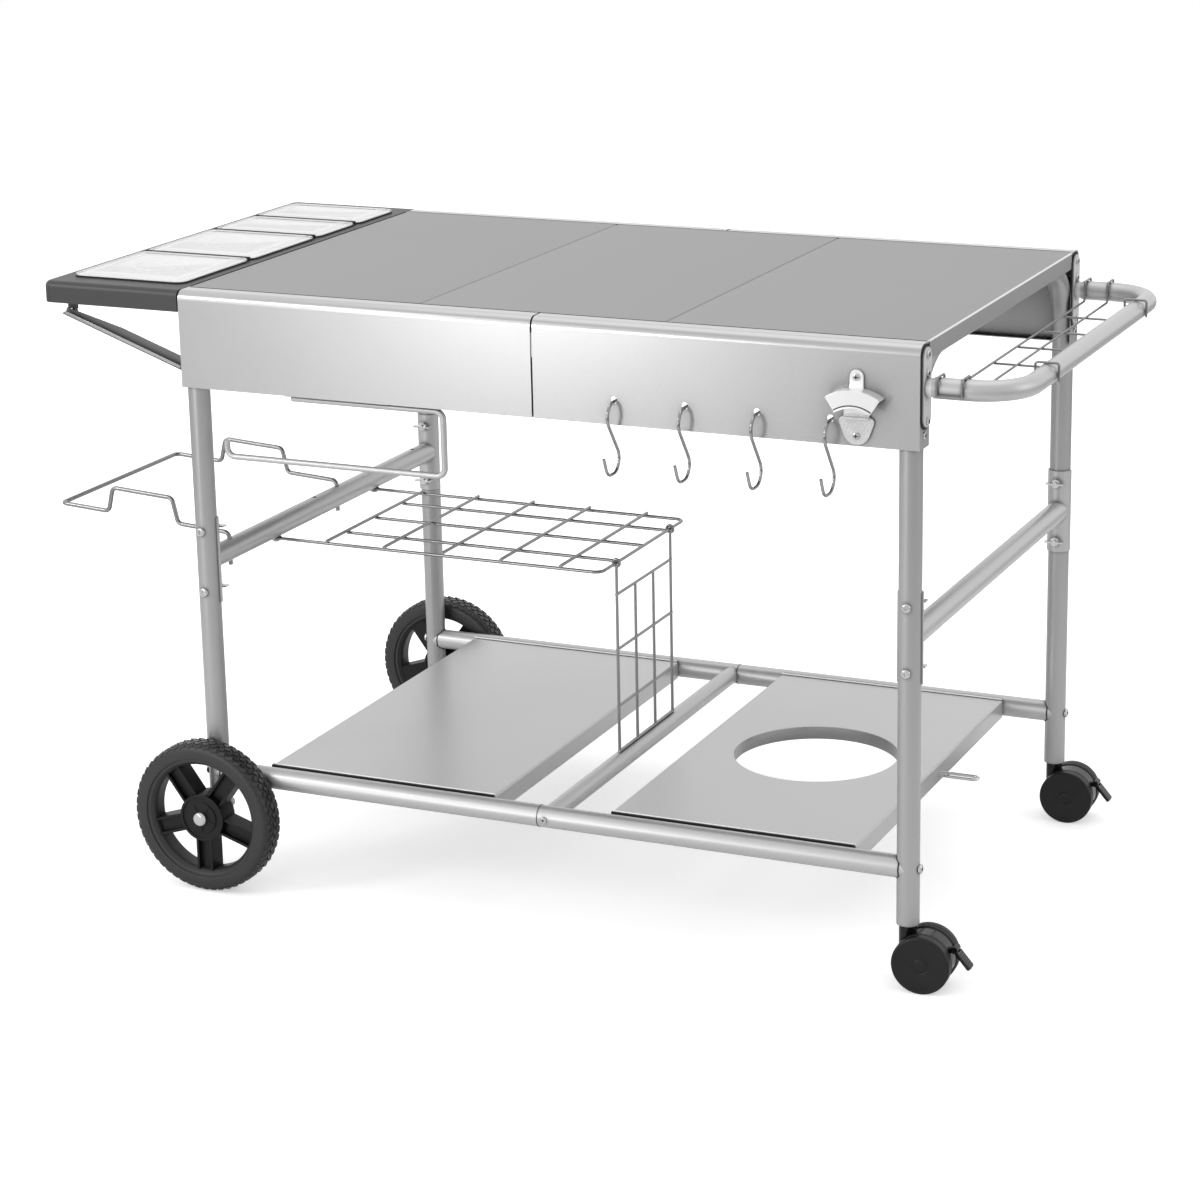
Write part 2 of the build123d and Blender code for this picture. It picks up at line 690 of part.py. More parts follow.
end_screws = apron_screw_places + bracket_screw_places
hook_xs = [HOOK_FIRST_X + HOOK_PITCH * i for i in range(HOOK_COUNT)]
hook_side_apron = drilled(front_apron(1), end_screws + opener_screw_places)
for x in hook_xs:
    hole = bar((x, -APRON_Y - CUT_OVER, HOOK_Z), (x, -APRON_Y + SHEET + CUT_OVER, HOOK_Z), HOOK_HOLE_D / 2)
    hook_side_apron = hook_side_apron - hole

save("front_apron_left", drilled(front_apron(-1), end_screws + towel_screw_places))
save("front_apron_right", hook_side_apron)
save("rear_apron_right", drilled(turned(front_apron(-1)), end_screws))
save("rear_apron_left", drilled(turned(front_apron(1)), end_screws))


# Worktop panels: thin sheet with a flange down each end
def top_panel(index):
    pitch = 2 * END_X / PANEL_COUNT
    first = index == 0
    last = index == PANEL_COUNT - 1
    x0 = -END_X + index * pitch + (0 if first else PANEL_GAP / 2)
    x1 = -END_X + (index + 1) * pitch - (0 if last else PANEL_GAP / 2)
    half_y = PANEL_HALF_Y
    outer_y = APRON_Y - APRON_END_W - PANEL_GAP
    inner_y = half_y - APRON_LEDGE_W - PANEL_GAP
    flange_z = WORKTOP_Z - PANEL_FLANGE_H
    left_y = outer_y if first else inner_y
    right_y = outer_y if last else inner_y
    panel = box(x0, x1, -half_y, half_y, WORKTOP_Z - SHEET, WORKTOP_Z)
    panel = panel + box(x0, x0 + SHEET, -left_y, left_y, flange_z, WORKTOP_Z)
    panel = panel + box(x1 - SHEET, x1, -right_y, right_y, flange_z, WORKTOP_Z)
    notch = Box(2 * (APRON_GAP + SHEET), abs(half_y - outer_y), 2 * PANEL_FLANGE_H)
    for sy in (-1, 1):
        corner_y = sy * (half_y + outer_y) / 2
        if first:
            panel = panel - Pos(x0, corner_y, WORKTOP_Z) * notch
        if last:
            panel = panel - Pos(x1, corner_y, WORKTOP_Z) * notch
    return panel


panel_names = ("top_panel_left", "top_panel_middle", "top_panel_right")
for index, name in enumerate(panel_names):
    save(name, drilled(top_panel(index), hinge_screw_places))


# Lower shelves: upside-down trays screwed to the bottom rails
def lower_shelf(side):
    x = side * SHELF_CENTRE_X
    x0 = x - SHELF_LENGTH / 2
    x1 = x + SHELF_LENGTH / 2
    y = RAIL_INNER_Y
    z0 = SHELF_TOP_Z - SHELF_FLANGE_H
    block = box(x0, x1, -y, y, z0, SHELF_TOP_Z)
    block = fillet(block.faces().sort_by(Axis.Z)[-1].edges(), SHELF_EDGE_R)
    hollow = box(x0 + SHEET, x1 - SHEET, -y + SHEET, y - SHEET, z0, SHELF_TOP_Z - SHEET)
    hollow = fillet(hollow.faces().sort_by(Axis.Z)[-1].edges(), SHELF_EDGE_R - SHEET)
    return drilled(block - hollow, shelf_screw_places)


def bottle_shelf():
    hole_r = TANK_HOLE_D / 2
    shelf = lower_shelf(1)
    rim_z = SHELF_TOP_Z - TANK_RIM_H
    x = SHELF_CENTRE_X
    shelf = shelf + bar((x, 0, rim_z), (x, 0, SHELF_TOP_Z), hole_r + SHEET)
    shelf = shelf - bar((x, 0, rim_z - CUT_OVER), (x, 0, SHELF_TOP_Z + CUT_OVER), hole_r)
    flange_x = SHELF_CENTRE_X + SHELF_LENGTH / 2
    nut_x = flange_x - SHEET - TANK_NUT_H
    y = TANK_SCREW_Y
    z = SHELF_TOP_Z - TANK_SCREW_DROP
    nut = bar((nut_x, y, z), (flange_x, y, z), TANK_NUT_D / 2)
    bore_r = TANK_SCREW_D / 2 + REST_GAP
    return shelf + nut - bar((nut_x - CUT_OVER, y, z), (flange_x + CUT_OVER, y, z), bore_r)


save("lower_shelf_left", lower_shelf(-1))
save("lower_shelf_right", bottle_shelf())


# Bottle screw: a threaded bar with a wire loop to turn it by
def tank_screw():
    flange_x = SHELF_CENTRE_X + SHELF_LENGTH / 2
    z = SHELF_TOP_Z - TANK_SCREW_DROP
    y = TANK_SCREW_Y
    head_x = flange_x + TANK_SCREW_NECK
    stem = bar((flange_x - TANK_SCREW_TIP, y, z), (head_x, y, z), TANK_SCREW_D / 2)
    half = TANK_LOOP_W / 2 - TANK_LOOP_WIRE_D / 2
    start_x = head_x - TANK_LOOP_WIRE_D
    end_x = head_x + TANK_LOOP_LENGTH
    corners = [
        (start_x, y - half, z),
        (end_x, y - half, z),
        (end_x, y + half, z),
        (start_x, y + half, z),
    ]
    loop = Wire.make_polygon(corners)
    loop = loop.fillet_2d(TANK_LOOP_BEND_R, loop.vertices())
    plane = Plane(origin=loop @ 0, z_dir=loop % 0)
    wire = sweep(plane * Circle(TANK_LOOP_WIRE_D / 2), path=loop)
    return stem + wire


save("tank_screw", tank_screw())


# Push handle, its bracket plates and the stubs that enter the tube
HANDLE_START_X = BRACKET_OUT_X + HANDLE_NECK


def push_handle():
    points = [
        (HANDLE_START_X, -HANDLE_Y, HANDLE_Z),
        (HANDLE_X, -HANDLE_Y, HANDLE_Z),
        (HANDLE_X, HANDLE_Y, HANDLE_Z),
        (HANDLE_START_X, HANDLE_Y, HANDLE_Z),
    ]
    return bent_pipe(points, HANDLE_BEND_R, HANDLE_R, HANDLE_WALL)


def handle_bracket(sy):
    y = sy * HANDLE_Y
    outline = Pos(y, HANDLE_Z) * Rot(0, 0, 90) * SlotOverall(BRACKET_H, BRACKET_W)
    plate = extrude(Plane.YZ.offset(END_X) * outline, amount=BRACKET_T)
    stub_r = HANDLE_R - HANDLE_WALL - SLIP
    stub_end = BRACKET_OUT_X + STUB_LENGTH
    stub = bar((END_X + BRACKET_T / 2, y, HANDLE_Z), (stub_end, y, HANDLE_Z), stub_r)
    return drilled(plate + stub, [p for p in bracket_screw_places if p[0][1] * sy > 0])


save("push_handle", push_handle())
save("handle_brackets", handle_bracket(-1), handle_bracket(1))


# Wire rack that hangs over the push handle
def handle_rack():
    floor_z = HANDLE_Z - RACK_FLOOR_DROP
    over_z = HANDLE_Z + HANDLE_R + REST_GAP + RACK_R
    hook_z = HANDLE_Z - RACK_HOOK_DROP
    in_y = HANDLE_Y - HANDLE_R - REST_GAP - RACK_R
    out_y = HANDLE_Y + HANDLE_R + REST_GAP + RACK_R
    in_x = HANDLE_X - HANDLE_R - REST_GAP - RACK_R
    out_x = HANDLE_X + HANDLE_R + REST_GAP + RACK_R
    xs = [HANDLE_START_X + offset for offset in RACK_LOOP_OFFSETS]
    start_x = xs[0] - RACK_R
    pieces = []
    for x in xs:
        side = [(x, -out_y, hook_z), (x, -out_y, over_z), (x, -in_y, over_z), (x, -in_y, floor_z)]
        mirrored = [(px, -py, pz) for px, py, pz in reversed(side)]
        pieces.append(swept(side + mirrored, RACK_BEND_R, RACK_R))
    for sy in (-1, 1):
        pieces.append(bar((start_x, sy * out_y, hook_z), (xs[1] + RACK_R, sy * out_y, hook_z), RACK_R))
    cross_z = floor_z - RACK_WIRE_D + WIRE_WELD
    half = (RACK_CROSS_COUNT - 1) / 2
    for i in range(RACK_CROSS_COUNT):
        y = (i - half) * RACK_CROSS_PITCH
        if abs(i - half) == half:
            staple = [
                (start_x, y, cross_z),
                (in_x, y, cross_z),
                (in_x, y, over_z),
                (out_x, y, over_z),
                (out_x, y, hook_z),
            ]
            pieces.append(swept(staple, RACK_BEND_R, RACK_R))
        else:
            pieces.append(bar((start_x, y, cross_z), (in_x, y, cross_z), RACK_R))
    reach = half * RACK_CROSS_PITCH
    long_x = in_x - RACK_WIRE_D
    pieces.append(bar((long_x, -reach, floor_z), (long_x, reach, floor_z), RACK_R))
    return fused(pieces)


save("handle_rack", handle_rack())


# Side shelf: an upside-down tray with four tray openings, hinge arms and strut lugs
tray_centres = []
tray_edge = -TRAYS_WIDTH / 2
for rim_y in TRAY_RIM_YS:
    tray_centres.append(tray_edge + rim_y / 2)
    tray_edge += rim_y + TRAY_GAP
TRAY_X = SIDE_INNER_X - SIDE_MARGIN_IN - TRAY_RIM_X / 2
SIDE_MID_X = (SIDE_INNER_X + SIDE_OUTER_X) / 2
STRUT_COS = math.cos(math.radians(STRUT_ANGLE))
STRUT_SIN = math.sin(math.radians(STRUT_ANGLE))


def strut_point(along, across):
    """A point on the strut: along it from its pivot, and across it upwards."""
    x = STRUT_PIVOT_X - along * STRUT_COS + across * STRUT_SIN
    z = STRUT_PIVOT_Z + along * STRUT_SIN + across * STRUT_COS
    return x, z


PEG_ACROSS = -STRUT_W / 2 + STRUT_TIP_W / 2
PEG_X = SIDE_OUTER_X + STRUT_LUG_INSET
PEG_ALONG = (STRUT_PIVOT_X - PEG_X + PEG_ACROSS * STRUT_SIN) / STRUT_COS
PEG_Z = strut_point(PEG_ALONG, PEG_ACROSS)[1]
STRUT_LENGTH = PEG_ALONG + STRUT_PEG_INSET


def rounded_block(size_x, size_y, corner_r, z0, z1, x, y):
    outline = Pos(x, y) * RectangleRounded(size_x, size_y, corner_r)
    return extrude(Plane.XY.offset(z0) * outline, amount=z1 - z0)


def side_shelf():
    outline = Pos(SIDE_MID_X, 0) * Rectangle(SIDE_LENGTH, SIDE_WIDTH)
    outer_corners = outline.vertices().sort_by(Axis.X)[:2]
    outline = fillet(outer_corners, SIDE_CORNER_R)
    block = extrude(Plane.XY.offset(SIDE_BOTTOM_Z) * outline, amount=SIDE_H)
    top_edges = block.faces().sort_by(Axis.Z)[-1].edges()
    rolled = [edge for edge in top_edges if edge.center().X < SIDE_INNER_X - CUT_OVER]
    block = fillet(rolled, SIDE_EDGE_R)
    hollow = box(
        SIDE_OUTER_X + SIDE_WALL,
        SIDE_INNER_X - SIDE_WALL,
        -SIDE_WIDTH / 2 + SIDE_WALL,
        SIDE_WIDTH / 2 - SIDE_WALL,
        SIDE_BOTTOM_Z,
        WORKTOP_Z - SIDE_WALL,
    )
    posts = hollow.edges().filter_by(Axis.Z).sort_by(Axis.X)[:2]
    hollow = fillet(posts, SIDE_CORNER_R - SIDE_WALL)
    roof_edges = hollow.faces().sort_by(Axis.Z)[-1].edges()
    roof = [edge for edge in roof_edges if edge.center().X < SIDE_INNER_X - SIDE_WALL - CUT_OVER]
    hollow = fillet(roof, SIDE_EDGE_R - SIDE_WALL)
    shelf = block - hollow
    for centre, rim in zip(tray_centres, TRAY_RIM_YS):
        size_x = TRAY_RIM_X - 2 * TRAY_LIP + 2 * TRAY_FIT
        size_y = rim - 2 * TRAY_LIP + 2 * TRAY_FIT
        top_z = WORKTOP_Z + CUT_OVER
        shelf = shelf - rounded_block(size_x, size_y, TRAY_BODY_R, SIDE_BOTTOM_Z, top_z, TRAY_X, centre)
    for sy in (-1, 1):
        arm_x = SIDE_INNER_X - SIDE_WALL
        half = HINGE_KNUCKLE_L / 2
        y = sy * HINGE_Y
        ends = ((HINGE_X, y - half, HINGE_Z), (HINGE_X, y + half, HINGE_Z))
        arm = box(arm_x - HINGE_ARM_T, arm_x, y - half, y + half, HINGE_Z, WORKTOP_Z - SIDE_WALL)
        shelf = shelf + arm + bar(*ends, HINGE_KNUCKLE_D / 2) - bar(*ends, HINGE_PIN_D / 2 + RUN_CLEAR)
        lug_y = sy * (STRUT_Y - STRUT_T / 2 - STRUT_PEG_L / 2)
        lug_z = PEG_Z + STRUT_PEG_D / 2 + REST_GAP
        y0 = lug_y - LUG_T / 2
        y1 = lug_y + LUG_T / 2
        x0 = PEG_X - LUG_W / 2
        x1 = PEG_X + LUG_W / 2
        web = box(SIDE_OUTER_X + SIDE_WALL / 2, x1, y0, y1, SIDE_BOTTOM_Z, WORKTOP_Z - SIDE_WALL)
        shelf = shelf + web + box(x0, x1, y0, y1, lug_z, SIDE_BOTTOM_Z)
    return shelf


save("side_shelf", side_shelf())


# Struts: folded sheet with a flange along the lower edge and a peg under the shelf's lug
def strut(sy):
    half = STRUT_W / 2
    corners = [
        strut_point(0, -half),
        strut_point(STRUT_LENGTH, -half),
        strut_point(STRUT_LENGTH, -half + STRUT_TIP_W),
        strut_point(STRUT_KINK, half),
        strut_point(0, half),
    ]
    web = make_face(Polyline(*corners, close=True)) + Pos(STRUT_PIVOT_X, STRUT_PIVOT_Z) * Circle(half)
    lip = [
        strut_point(0, -half),
        strut_point(STRUT_LENGTH, -half),
        strut_point(STRUT_LENGTH, -half + SHEET),
        strut_point(0, -half + SHEET),
    ]
    flange = make_face(Polyline(*lip, close=True))
    front = Plane(origin=(0, 0, 0), x_dir=(1, 0, 0), z_dir=(0, -1, 0))
    in_y = STRUT_Y - STRUT_T / 2
    out_y = in_y + STRUT_FLANGE_W
    piece = extrude(front.offset(in_y) * web, amount=STRUT_T)
    piece = piece + extrude(front.offset(in_y) * flange, amount=STRUT_FLANGE_W)
    peg_end = -in_y + STRUT_PEG_L
    piece = piece + bar((PEG_X, -STRUT_Y, PEG_Z), (PEG_X, peg_end, PEG_Z), STRUT_PEG_D / 2)
    pivot = ((STRUT_PIVOT_X, -out_y, STRUT_PIVOT_Z), (STRUT_PIVOT_X, -in_y + CUT_OVER, STRUT_PIVOT_Z))
    piece = piece - bar(*pivot, STRUT_PIN_D / 2 + RUN_CLEAR)
    return piece if sy < 0 else mirror(piece, about=Plane.XZ)


save("strut_front", strut(-1))
save("strut_rear", strut(1))


# Hinge leaves with their pins, and strut brackets with theirs
def hinge_leaf(sy):
    y = sy * HINGE_Y
    half = HINGE_KNUCKLE_L / 2
    ear_y = half + REST_GAP
    leaf_half = HINGE_SCREW_Y + SCREW_HEAD_D / 2
    top_z = FRAME_TOP_Z + SCREW_HEAD_D
    low_z = HINGE_Z - HINGE_KNUCKLE_D / 2
    leaf = box(HINGE_LEAF_X, -END_X, y - leaf_half, y + leaf_half, FRAME_TOP_Z - SCREW_HEAD_D, top_z)
    for side in (-1, 1):
        near = y + side * ear_y
        far = near + side * HINGE_EAR_T
        ear = box(HINGE_X, -END_X, near, far, low_z, HINGE_Z + HINGE_KNUCKLE_D / 2)
        post = box(HINGE_LEAF_X, -END_X, near, far, HINGE_Z, FRAME_TOP_Z)
        knuckle = bar((HINGE_X, near, HINGE_Z), (HINGE_X, far, HINGE_Z), HINGE_KNUCKLE_D / 2)
        leaf = leaf + ear + post + knuckle
    reach = ear_y + HINGE_EAR_T + HINGE_PIN_END
    pin = bar((HINGE_X, y - reach, HINGE_Z), (HINGE_X, y + reach, HINGE_Z), HINGE_PIN_D / 2)
    leaf = leaf + pin
    return drilled(leaf, hinge_screw_places)


def strut_bracket(sy):
    ear_out = STRUT_Y - STRUT_T / 2 - REST_GAP
    ear_in = ear_out - STRUT_EAR_T
    half = STRUT_W / 2
    foot_out = LEG_Y + SCREW_HEAD_D / 2
    z0 = STRUT_PIVOT_Z - STRUT_FOOT_H / 2
    z1 = STRUT_PIVOT_Z + STRUT_FOOT_H / 2
    foot = box(-END_X - STRUT_FOOT_T, -END_X, -foot_out, -ear_in, z0, z1)
    x = STRUT_PIVOT_X
    z = STRUT_PIVOT_Z
    ear = box(x, -END_X, -ear_out, -ear_in, z - half, z + half)
    nose = bar((x, -ear_out, z), (x, -ear_in, z), half)
    pin_end = STRUT_Y + STRUT_T / 2 + STRUT_PIN_END
    pin = bar((x, -pin_end, z), (x, -ear_in, z), STRUT_PIN_D / 2)
    piece = foot + ear + nose + pin
    piece = piece if sy < 0 else mirror(piece, about=Plane.XZ)
    return drilled(piece, apron_screw_places)


save("side_shelf_hinges", hinge_leaf(-1), hinge_leaf(1), strut_bracket(-1), strut_bracket(1))


# Condiment trays and their clear lids
RIM_BOTTOM_Z = WORKTOP_Z + REST_GAP
RIM_TOP_Z = RIM_BOTTOM_Z + TRAY_RIM_T
LID_Z = RIM_TOP_Z + REST_GAP


def tray(centre, rim_y):
    body_x = TRAY_RIM_X - 2 * TRAY_LIP
    body_y = rim_y - 2 * TRAY_LIP
    floor_z = RIM_TOP_Z - TRAY_DEPTH
    inner_z = floor_z + TRAY_WALL
    inner_r = TRAY_BODY_R - TRAY_WALL
    rim = rounded_block(TRAY_RIM_X, rim_y, TRAY_CORNER_R, RIM_BOTTOM_Z, RIM_TOP_Z, TRAY_X, centre)
    cup = rounded_block(body_x, body_y, TRAY_BODY_R, floor_z, RIM_TOP_Z, TRAY_X, centre)
    cup = fillet(cup.faces().sort_by(Axis.Z)[0].edges(), TRAY_FLOOR_R)
    inner_x = body_x - 2 * TRAY_WALL
    inner_y = body_y - 2 * TRAY_WALL
    hollow = rounded_block(inner_x, inner_y, inner_r, inner_z, RIM_TOP_Z, TRAY_X, centre)
    hollow = fillet(hollow.faces().sort_by(Axis.Z)[0].edges(), TRAY_FLOOR_R - TRAY_WALL)
    return rim + cup - hollow


def lid(centre, rim_y):
    top_z = LID_Z + LID_T
    plate = rounded_block(TRAY_RIM_X, rim_y, TRAY_CORNER_R, LID_Z, top_z, TRAY_X, centre)
    bead_z = top_z + LID_BEAD_H
    inner_x = TRAY_RIM_X - 2 * LID_BEAD_W
    inner_y = rim_y - 2 * LID_BEAD_W
    inner_r = TRAY_CORNER_R - LID_BEAD_W
    bead = rounded_block(TRAY_RIM_X, rim_y, TRAY_CORNER_R, LID_Z, bead_z, TRAY_X, centre)
    bead = bead - rounded_block(inner_x, inner_y, inner_r, LID_Z, bead_z, TRAY_X, centre)
    ridge_r = LID_RING_D / 2
    ridge = pipe((TRAY_X, centre, LID_Z), (TRAY_X, centre, top_z + LID_RING_H), ridge_r, LID_RING_W)
    return plate + bead + ridge


for number, (centre, rim_y) in enumerate(zip(tray_centres, TRAY_RIM_YS), start=1):
    save(f"tray_{number}", tray(centre, rim_y))
    save(f"tray_lid_{number}", lid(centre, rim_y))


# Wire shelf: a loop of wire with eyelets under the left cross rail, long wires and cross wires on top
def wire_shelf():
    half = WIRE_SHELF_W / 2
    z = WIRE_SHELF_Z
    start_x = -LEG_X + EYELET_R
    end_x = WIRE_SHELF_END_X
    loop = [(start_x, -half, z), (end_x, -half, z), (end_x, half, z), (start_x, half, z)]
    pieces = [swept(loop, WIRE_SHELF_CORNER_R, WIRE_R)]
    first_x = -LEG_X + WIRE_SHELF_CROSS_FIRST
    for i in range(WIRE_SHELF_LONGS):
        y = (i - (WIRE_SHELF_LONGS - 1) / 2) * WIRE_SHELF_LONG_PITCH
        pieces.append(bar((first_x - WIRE_R, y, z), (end_x, y, z), WIRE_R))
    over = z + SHELF_WIRE_D - WIRE_WELD
    for i in range(WIRE_SHELF_CROSSES):
        x = first_x + i * WIRE_SHELF_CROSS_PITCH
        pieces.append(bar((x, -half - WIRE_R, over), (x, half + WIRE_R, over), WIRE_R))
    for sy in (-1, 1):
        pieces.append(ring((-LEG_X, sy * half, z), (0, 0, 1), EYELET_R, WIRE_R))
    return fused(pieces)


save("wire_shelf", wire_shelf())


# Hanging grid: rings around the wire shelf's end wire, four uprights and four cross wires
def hanging_grid():
    r = GRID_WIRE_D / 2
    half = GRID_W / 2
    x = WIRE_SHELF_END_X
    major = WIRE_R + GRID_LOOP_CLEAR + r
    top_z = WIRE_SHELF_Z - major
    bottom_z = RAIL_Z + CROSSBAR_D / 2 + REST_GAP + r
    cross_zs = [WIRE_SHELF_Z - drop for drop in GRID_CROSS_DROPS]
    pieces = []
    for i in range(GRID_VERTICALS):
        y = -half + i * GRID_W / (GRID_VERTICALS - 1)
        outer = i in (0, GRID_VERTICALS - 1)
        start_z = top_z if outer else cross_zs[0]
        pieces.append(bar((x, y, start_z), (x, y, bottom_z), r))
        if outer:
            pieces.append(ring((x, y, WIRE_SHELF_Z), (0, 1, 0), major, r))
    for z in cross_zs + [bottom_z]:
        pieces.append(bar((x, -half - r, z), (x, half + r, z), r))
    return fused(pieces)


save("hanging_grid", hanging_grid())


# Bag holder: a wire loop that stands in two holes of the left cross rail
def bag_holder():
    r = BAG_WIRE_D / 2
    slope = math.tan(math.radians(BAG_SLOPE))
    start_z = CROSS_Z + TUBE_R + BAG_ARM_RISE + r
    low_z = CROSS_Z - TUBE_R - BAG_PIN_BELOW

    def level(out):
        return start_z + slope * out

    lean = BAG_BEND_R / 2
    outs = (BAG_STEP_NEAR - lean, BAG_STEP_NEAR + lean, BAG_STEP_FAR - lean, BAG_STEP_FAR + lean)
    heights = (0.0, BAG_STEP_H, BAG_STEP_H, 0.0)

    def arm(y):
        points = [(-LEG_X, y, low_z), (-LEG_X, y, level(0))]
        for out, height in zip(outs, heights):
            points.append((-LEG_X - out, y, level(out) + height))
        points.append((BAG_END_X, y, level(BAG_REACH)))
        return points

    points = arm(-BAG_HOLE_FAR) + list(reversed(arm(BAG_HOLE_NEAR)))
    return swept(points, BAG_BEND_R, r)


save("bag_holder", bag_holder())


# Towel rod: a bent rod welded to a strip that is screwed under the front apron
def towel_rod():
    r = TOWEL_ROD_D / 2
    top_z = TOWEL_STRIP_Z - r + WIRE_WELD
    low_z = top_z - TOWEL_DROP
    points = [
        (TOWEL_TOP_X[0], TOWEL_Y, top_z),
        (TOWEL_TOP_X[1], TOWEL_Y, top_z),
        (TOWEL_TOP_X[1], TOWEL_Y, low_z),
        (TOWEL_END_X, TOWEL_Y, low_z),
        (TOWEL_END_X, TOWEL_Y, low_z + TOWEL_TIP),
    ]
    rod = swept(points, TOWEL_BEND_R, r)
    y0 = TOWEL_Y - TOWEL_STRIP_W / 2
    y1 = TOWEL_Y + TOWEL_STRIP_W / 2
    strip = box(TOWEL_STRIP_X[0], TOWEL_STRIP_X[1], y0, y1, TOWEL_STRIP_Z, APRON_BOTTOM)
    return drilled(rod + strip, towel_screw_places)


save("towel_rod", towel_rod())


# S-hooks: wire bent to an S that leans out through a hole in the front apron and back under it
def s_hook(x):
    r = HOOK_WIRE_D / 2
    z = HOOK_Z - HOOK_HOLE_D / 2 + r + REST_GAP
    tail_y = -APRON_Y + HOOK_TAIL_IN
    low_z = z - HOOK_LENGTH
    points = [
        (x, tail_y, z - HOOK_TAIL),
        (x, tail_y, z),
        (x, -APRON_Y - HOOK_TOP_OUT, z),
        (x, -APRON_Y + HOOK_LOW_IN, low_z),
        (x, -APRON_Y - HOOK_TOE_OUT, low_z),
        (x, -APRON_Y - HOOK_TIP_OUT, low_z + HOOK_TIP),
    ]
    bends = [HOOK_BEND_R, HOOK_CURVE_R, HOOK_CURVE_R, HOOK_CURVE_R]
    return swept(points, bends, r)


for number, x in enumerate(hook_xs, start=1):
    save(f"s_hook_{number}", s_hook(x))


# Bottle opener: a shield plate with a hood that catches the cap
def bottle_opener():
    tip_z = OPENER_TOP_Z - OPENER_SPAN
    shield_z = OPENER_TOP_Z - OPENER_SHIELD_DROP
    corner_x = OPENER_SHIELD_W / 2 - OPENER_SHIELD_R
    front = Plane(origin=(0, -APRON_Y, 0), x_dir=(1, 0, 0), z_dir=(0, -1, 0))
    left = Pos(OPENER_X - corner_x, shield_z - OPENER_SHIELD_R) * Circle(OPENER_SHIELD_R)
    right = Pos(OPENER_X + corner_x, shield_z - OPENER_SHIELD_R) * Circle(OPENER_SHIELD_R)
    tip = Pos(OPENER_X, tip_z - OPENER_TIP_EDGE + OPENER_TIP_R) * Circle(OPENER_TIP_R)
    shield = make_hull((left + right + tip).edges())
    lug = Pos(OPENER_X, (OPENER_TOP_Z + shield_z) / 2) * Rectangle(OPENER_LUG_W, OPENER_SHIELD_DROP)
    lug = lug + Pos(OPENER_X, OPENER_TOP_Z) * Circle(OPENER_LUG_W / 2)
    back_h = OPENER_SHIELD_DROP - OPENER_HOOD_DROP
    back = Pos(OPENER_X, shield_z + back_h / 2 - OPENER_SHIELD_R) * Rectangle(2 * corner_x, back_h)
    plate = extrude(front * (shield + lug + back), amount=OPENER_T)
    lip_z = shield_z - OPENER_LIP_H / 2
    lip = Pos(OPENER_X, lip_z) * SlotOverall(2 * corner_x, OPENER_LIP_H)
    plate = plate + extrude(front * lip, amount=OPENER_LIP_OUT)
    centre_z = OPENER_TOP_Z - OPENER_HOOD_DROP - OPENER_HOOD_R
    half_angle = math.asin(OPENER_HOOD_W / 2 / OPENER_HOOD_R)
    far = 2 * OPENER_HOOD_R
    reach = (far * math.sin(half_angle), far * math.cos(half_angle))
    wedge = make_face(Polyline((0, 0), (-reach[0], reach[1]), (reach[0], reach[1]), close=True))
    arch = (Circle(OPENER_HOOD_R) - Circle(OPENER_HOOD_R - OPENER_HOOD_H)) & wedge
    roof = (Circle(OPENER_HOOD_R) - Circle(OPENER_HOOD_R - OPENER_HOOD_T)) & wedge
    place = Pos(OPENER_X, centre_z)
    hood = extrude(front.offset(OPENER_HOOD_OUT - OPENER_HOOD_T) * (place * arch), amount=OPENER_HOOD_T)
    hood = hood + extrude(front * (place * roof), amount=OPENER_HOOD_OUT)
    return drilled(plate + hood, opener_screw_places)


save("bottle_opener", bottle_opener())


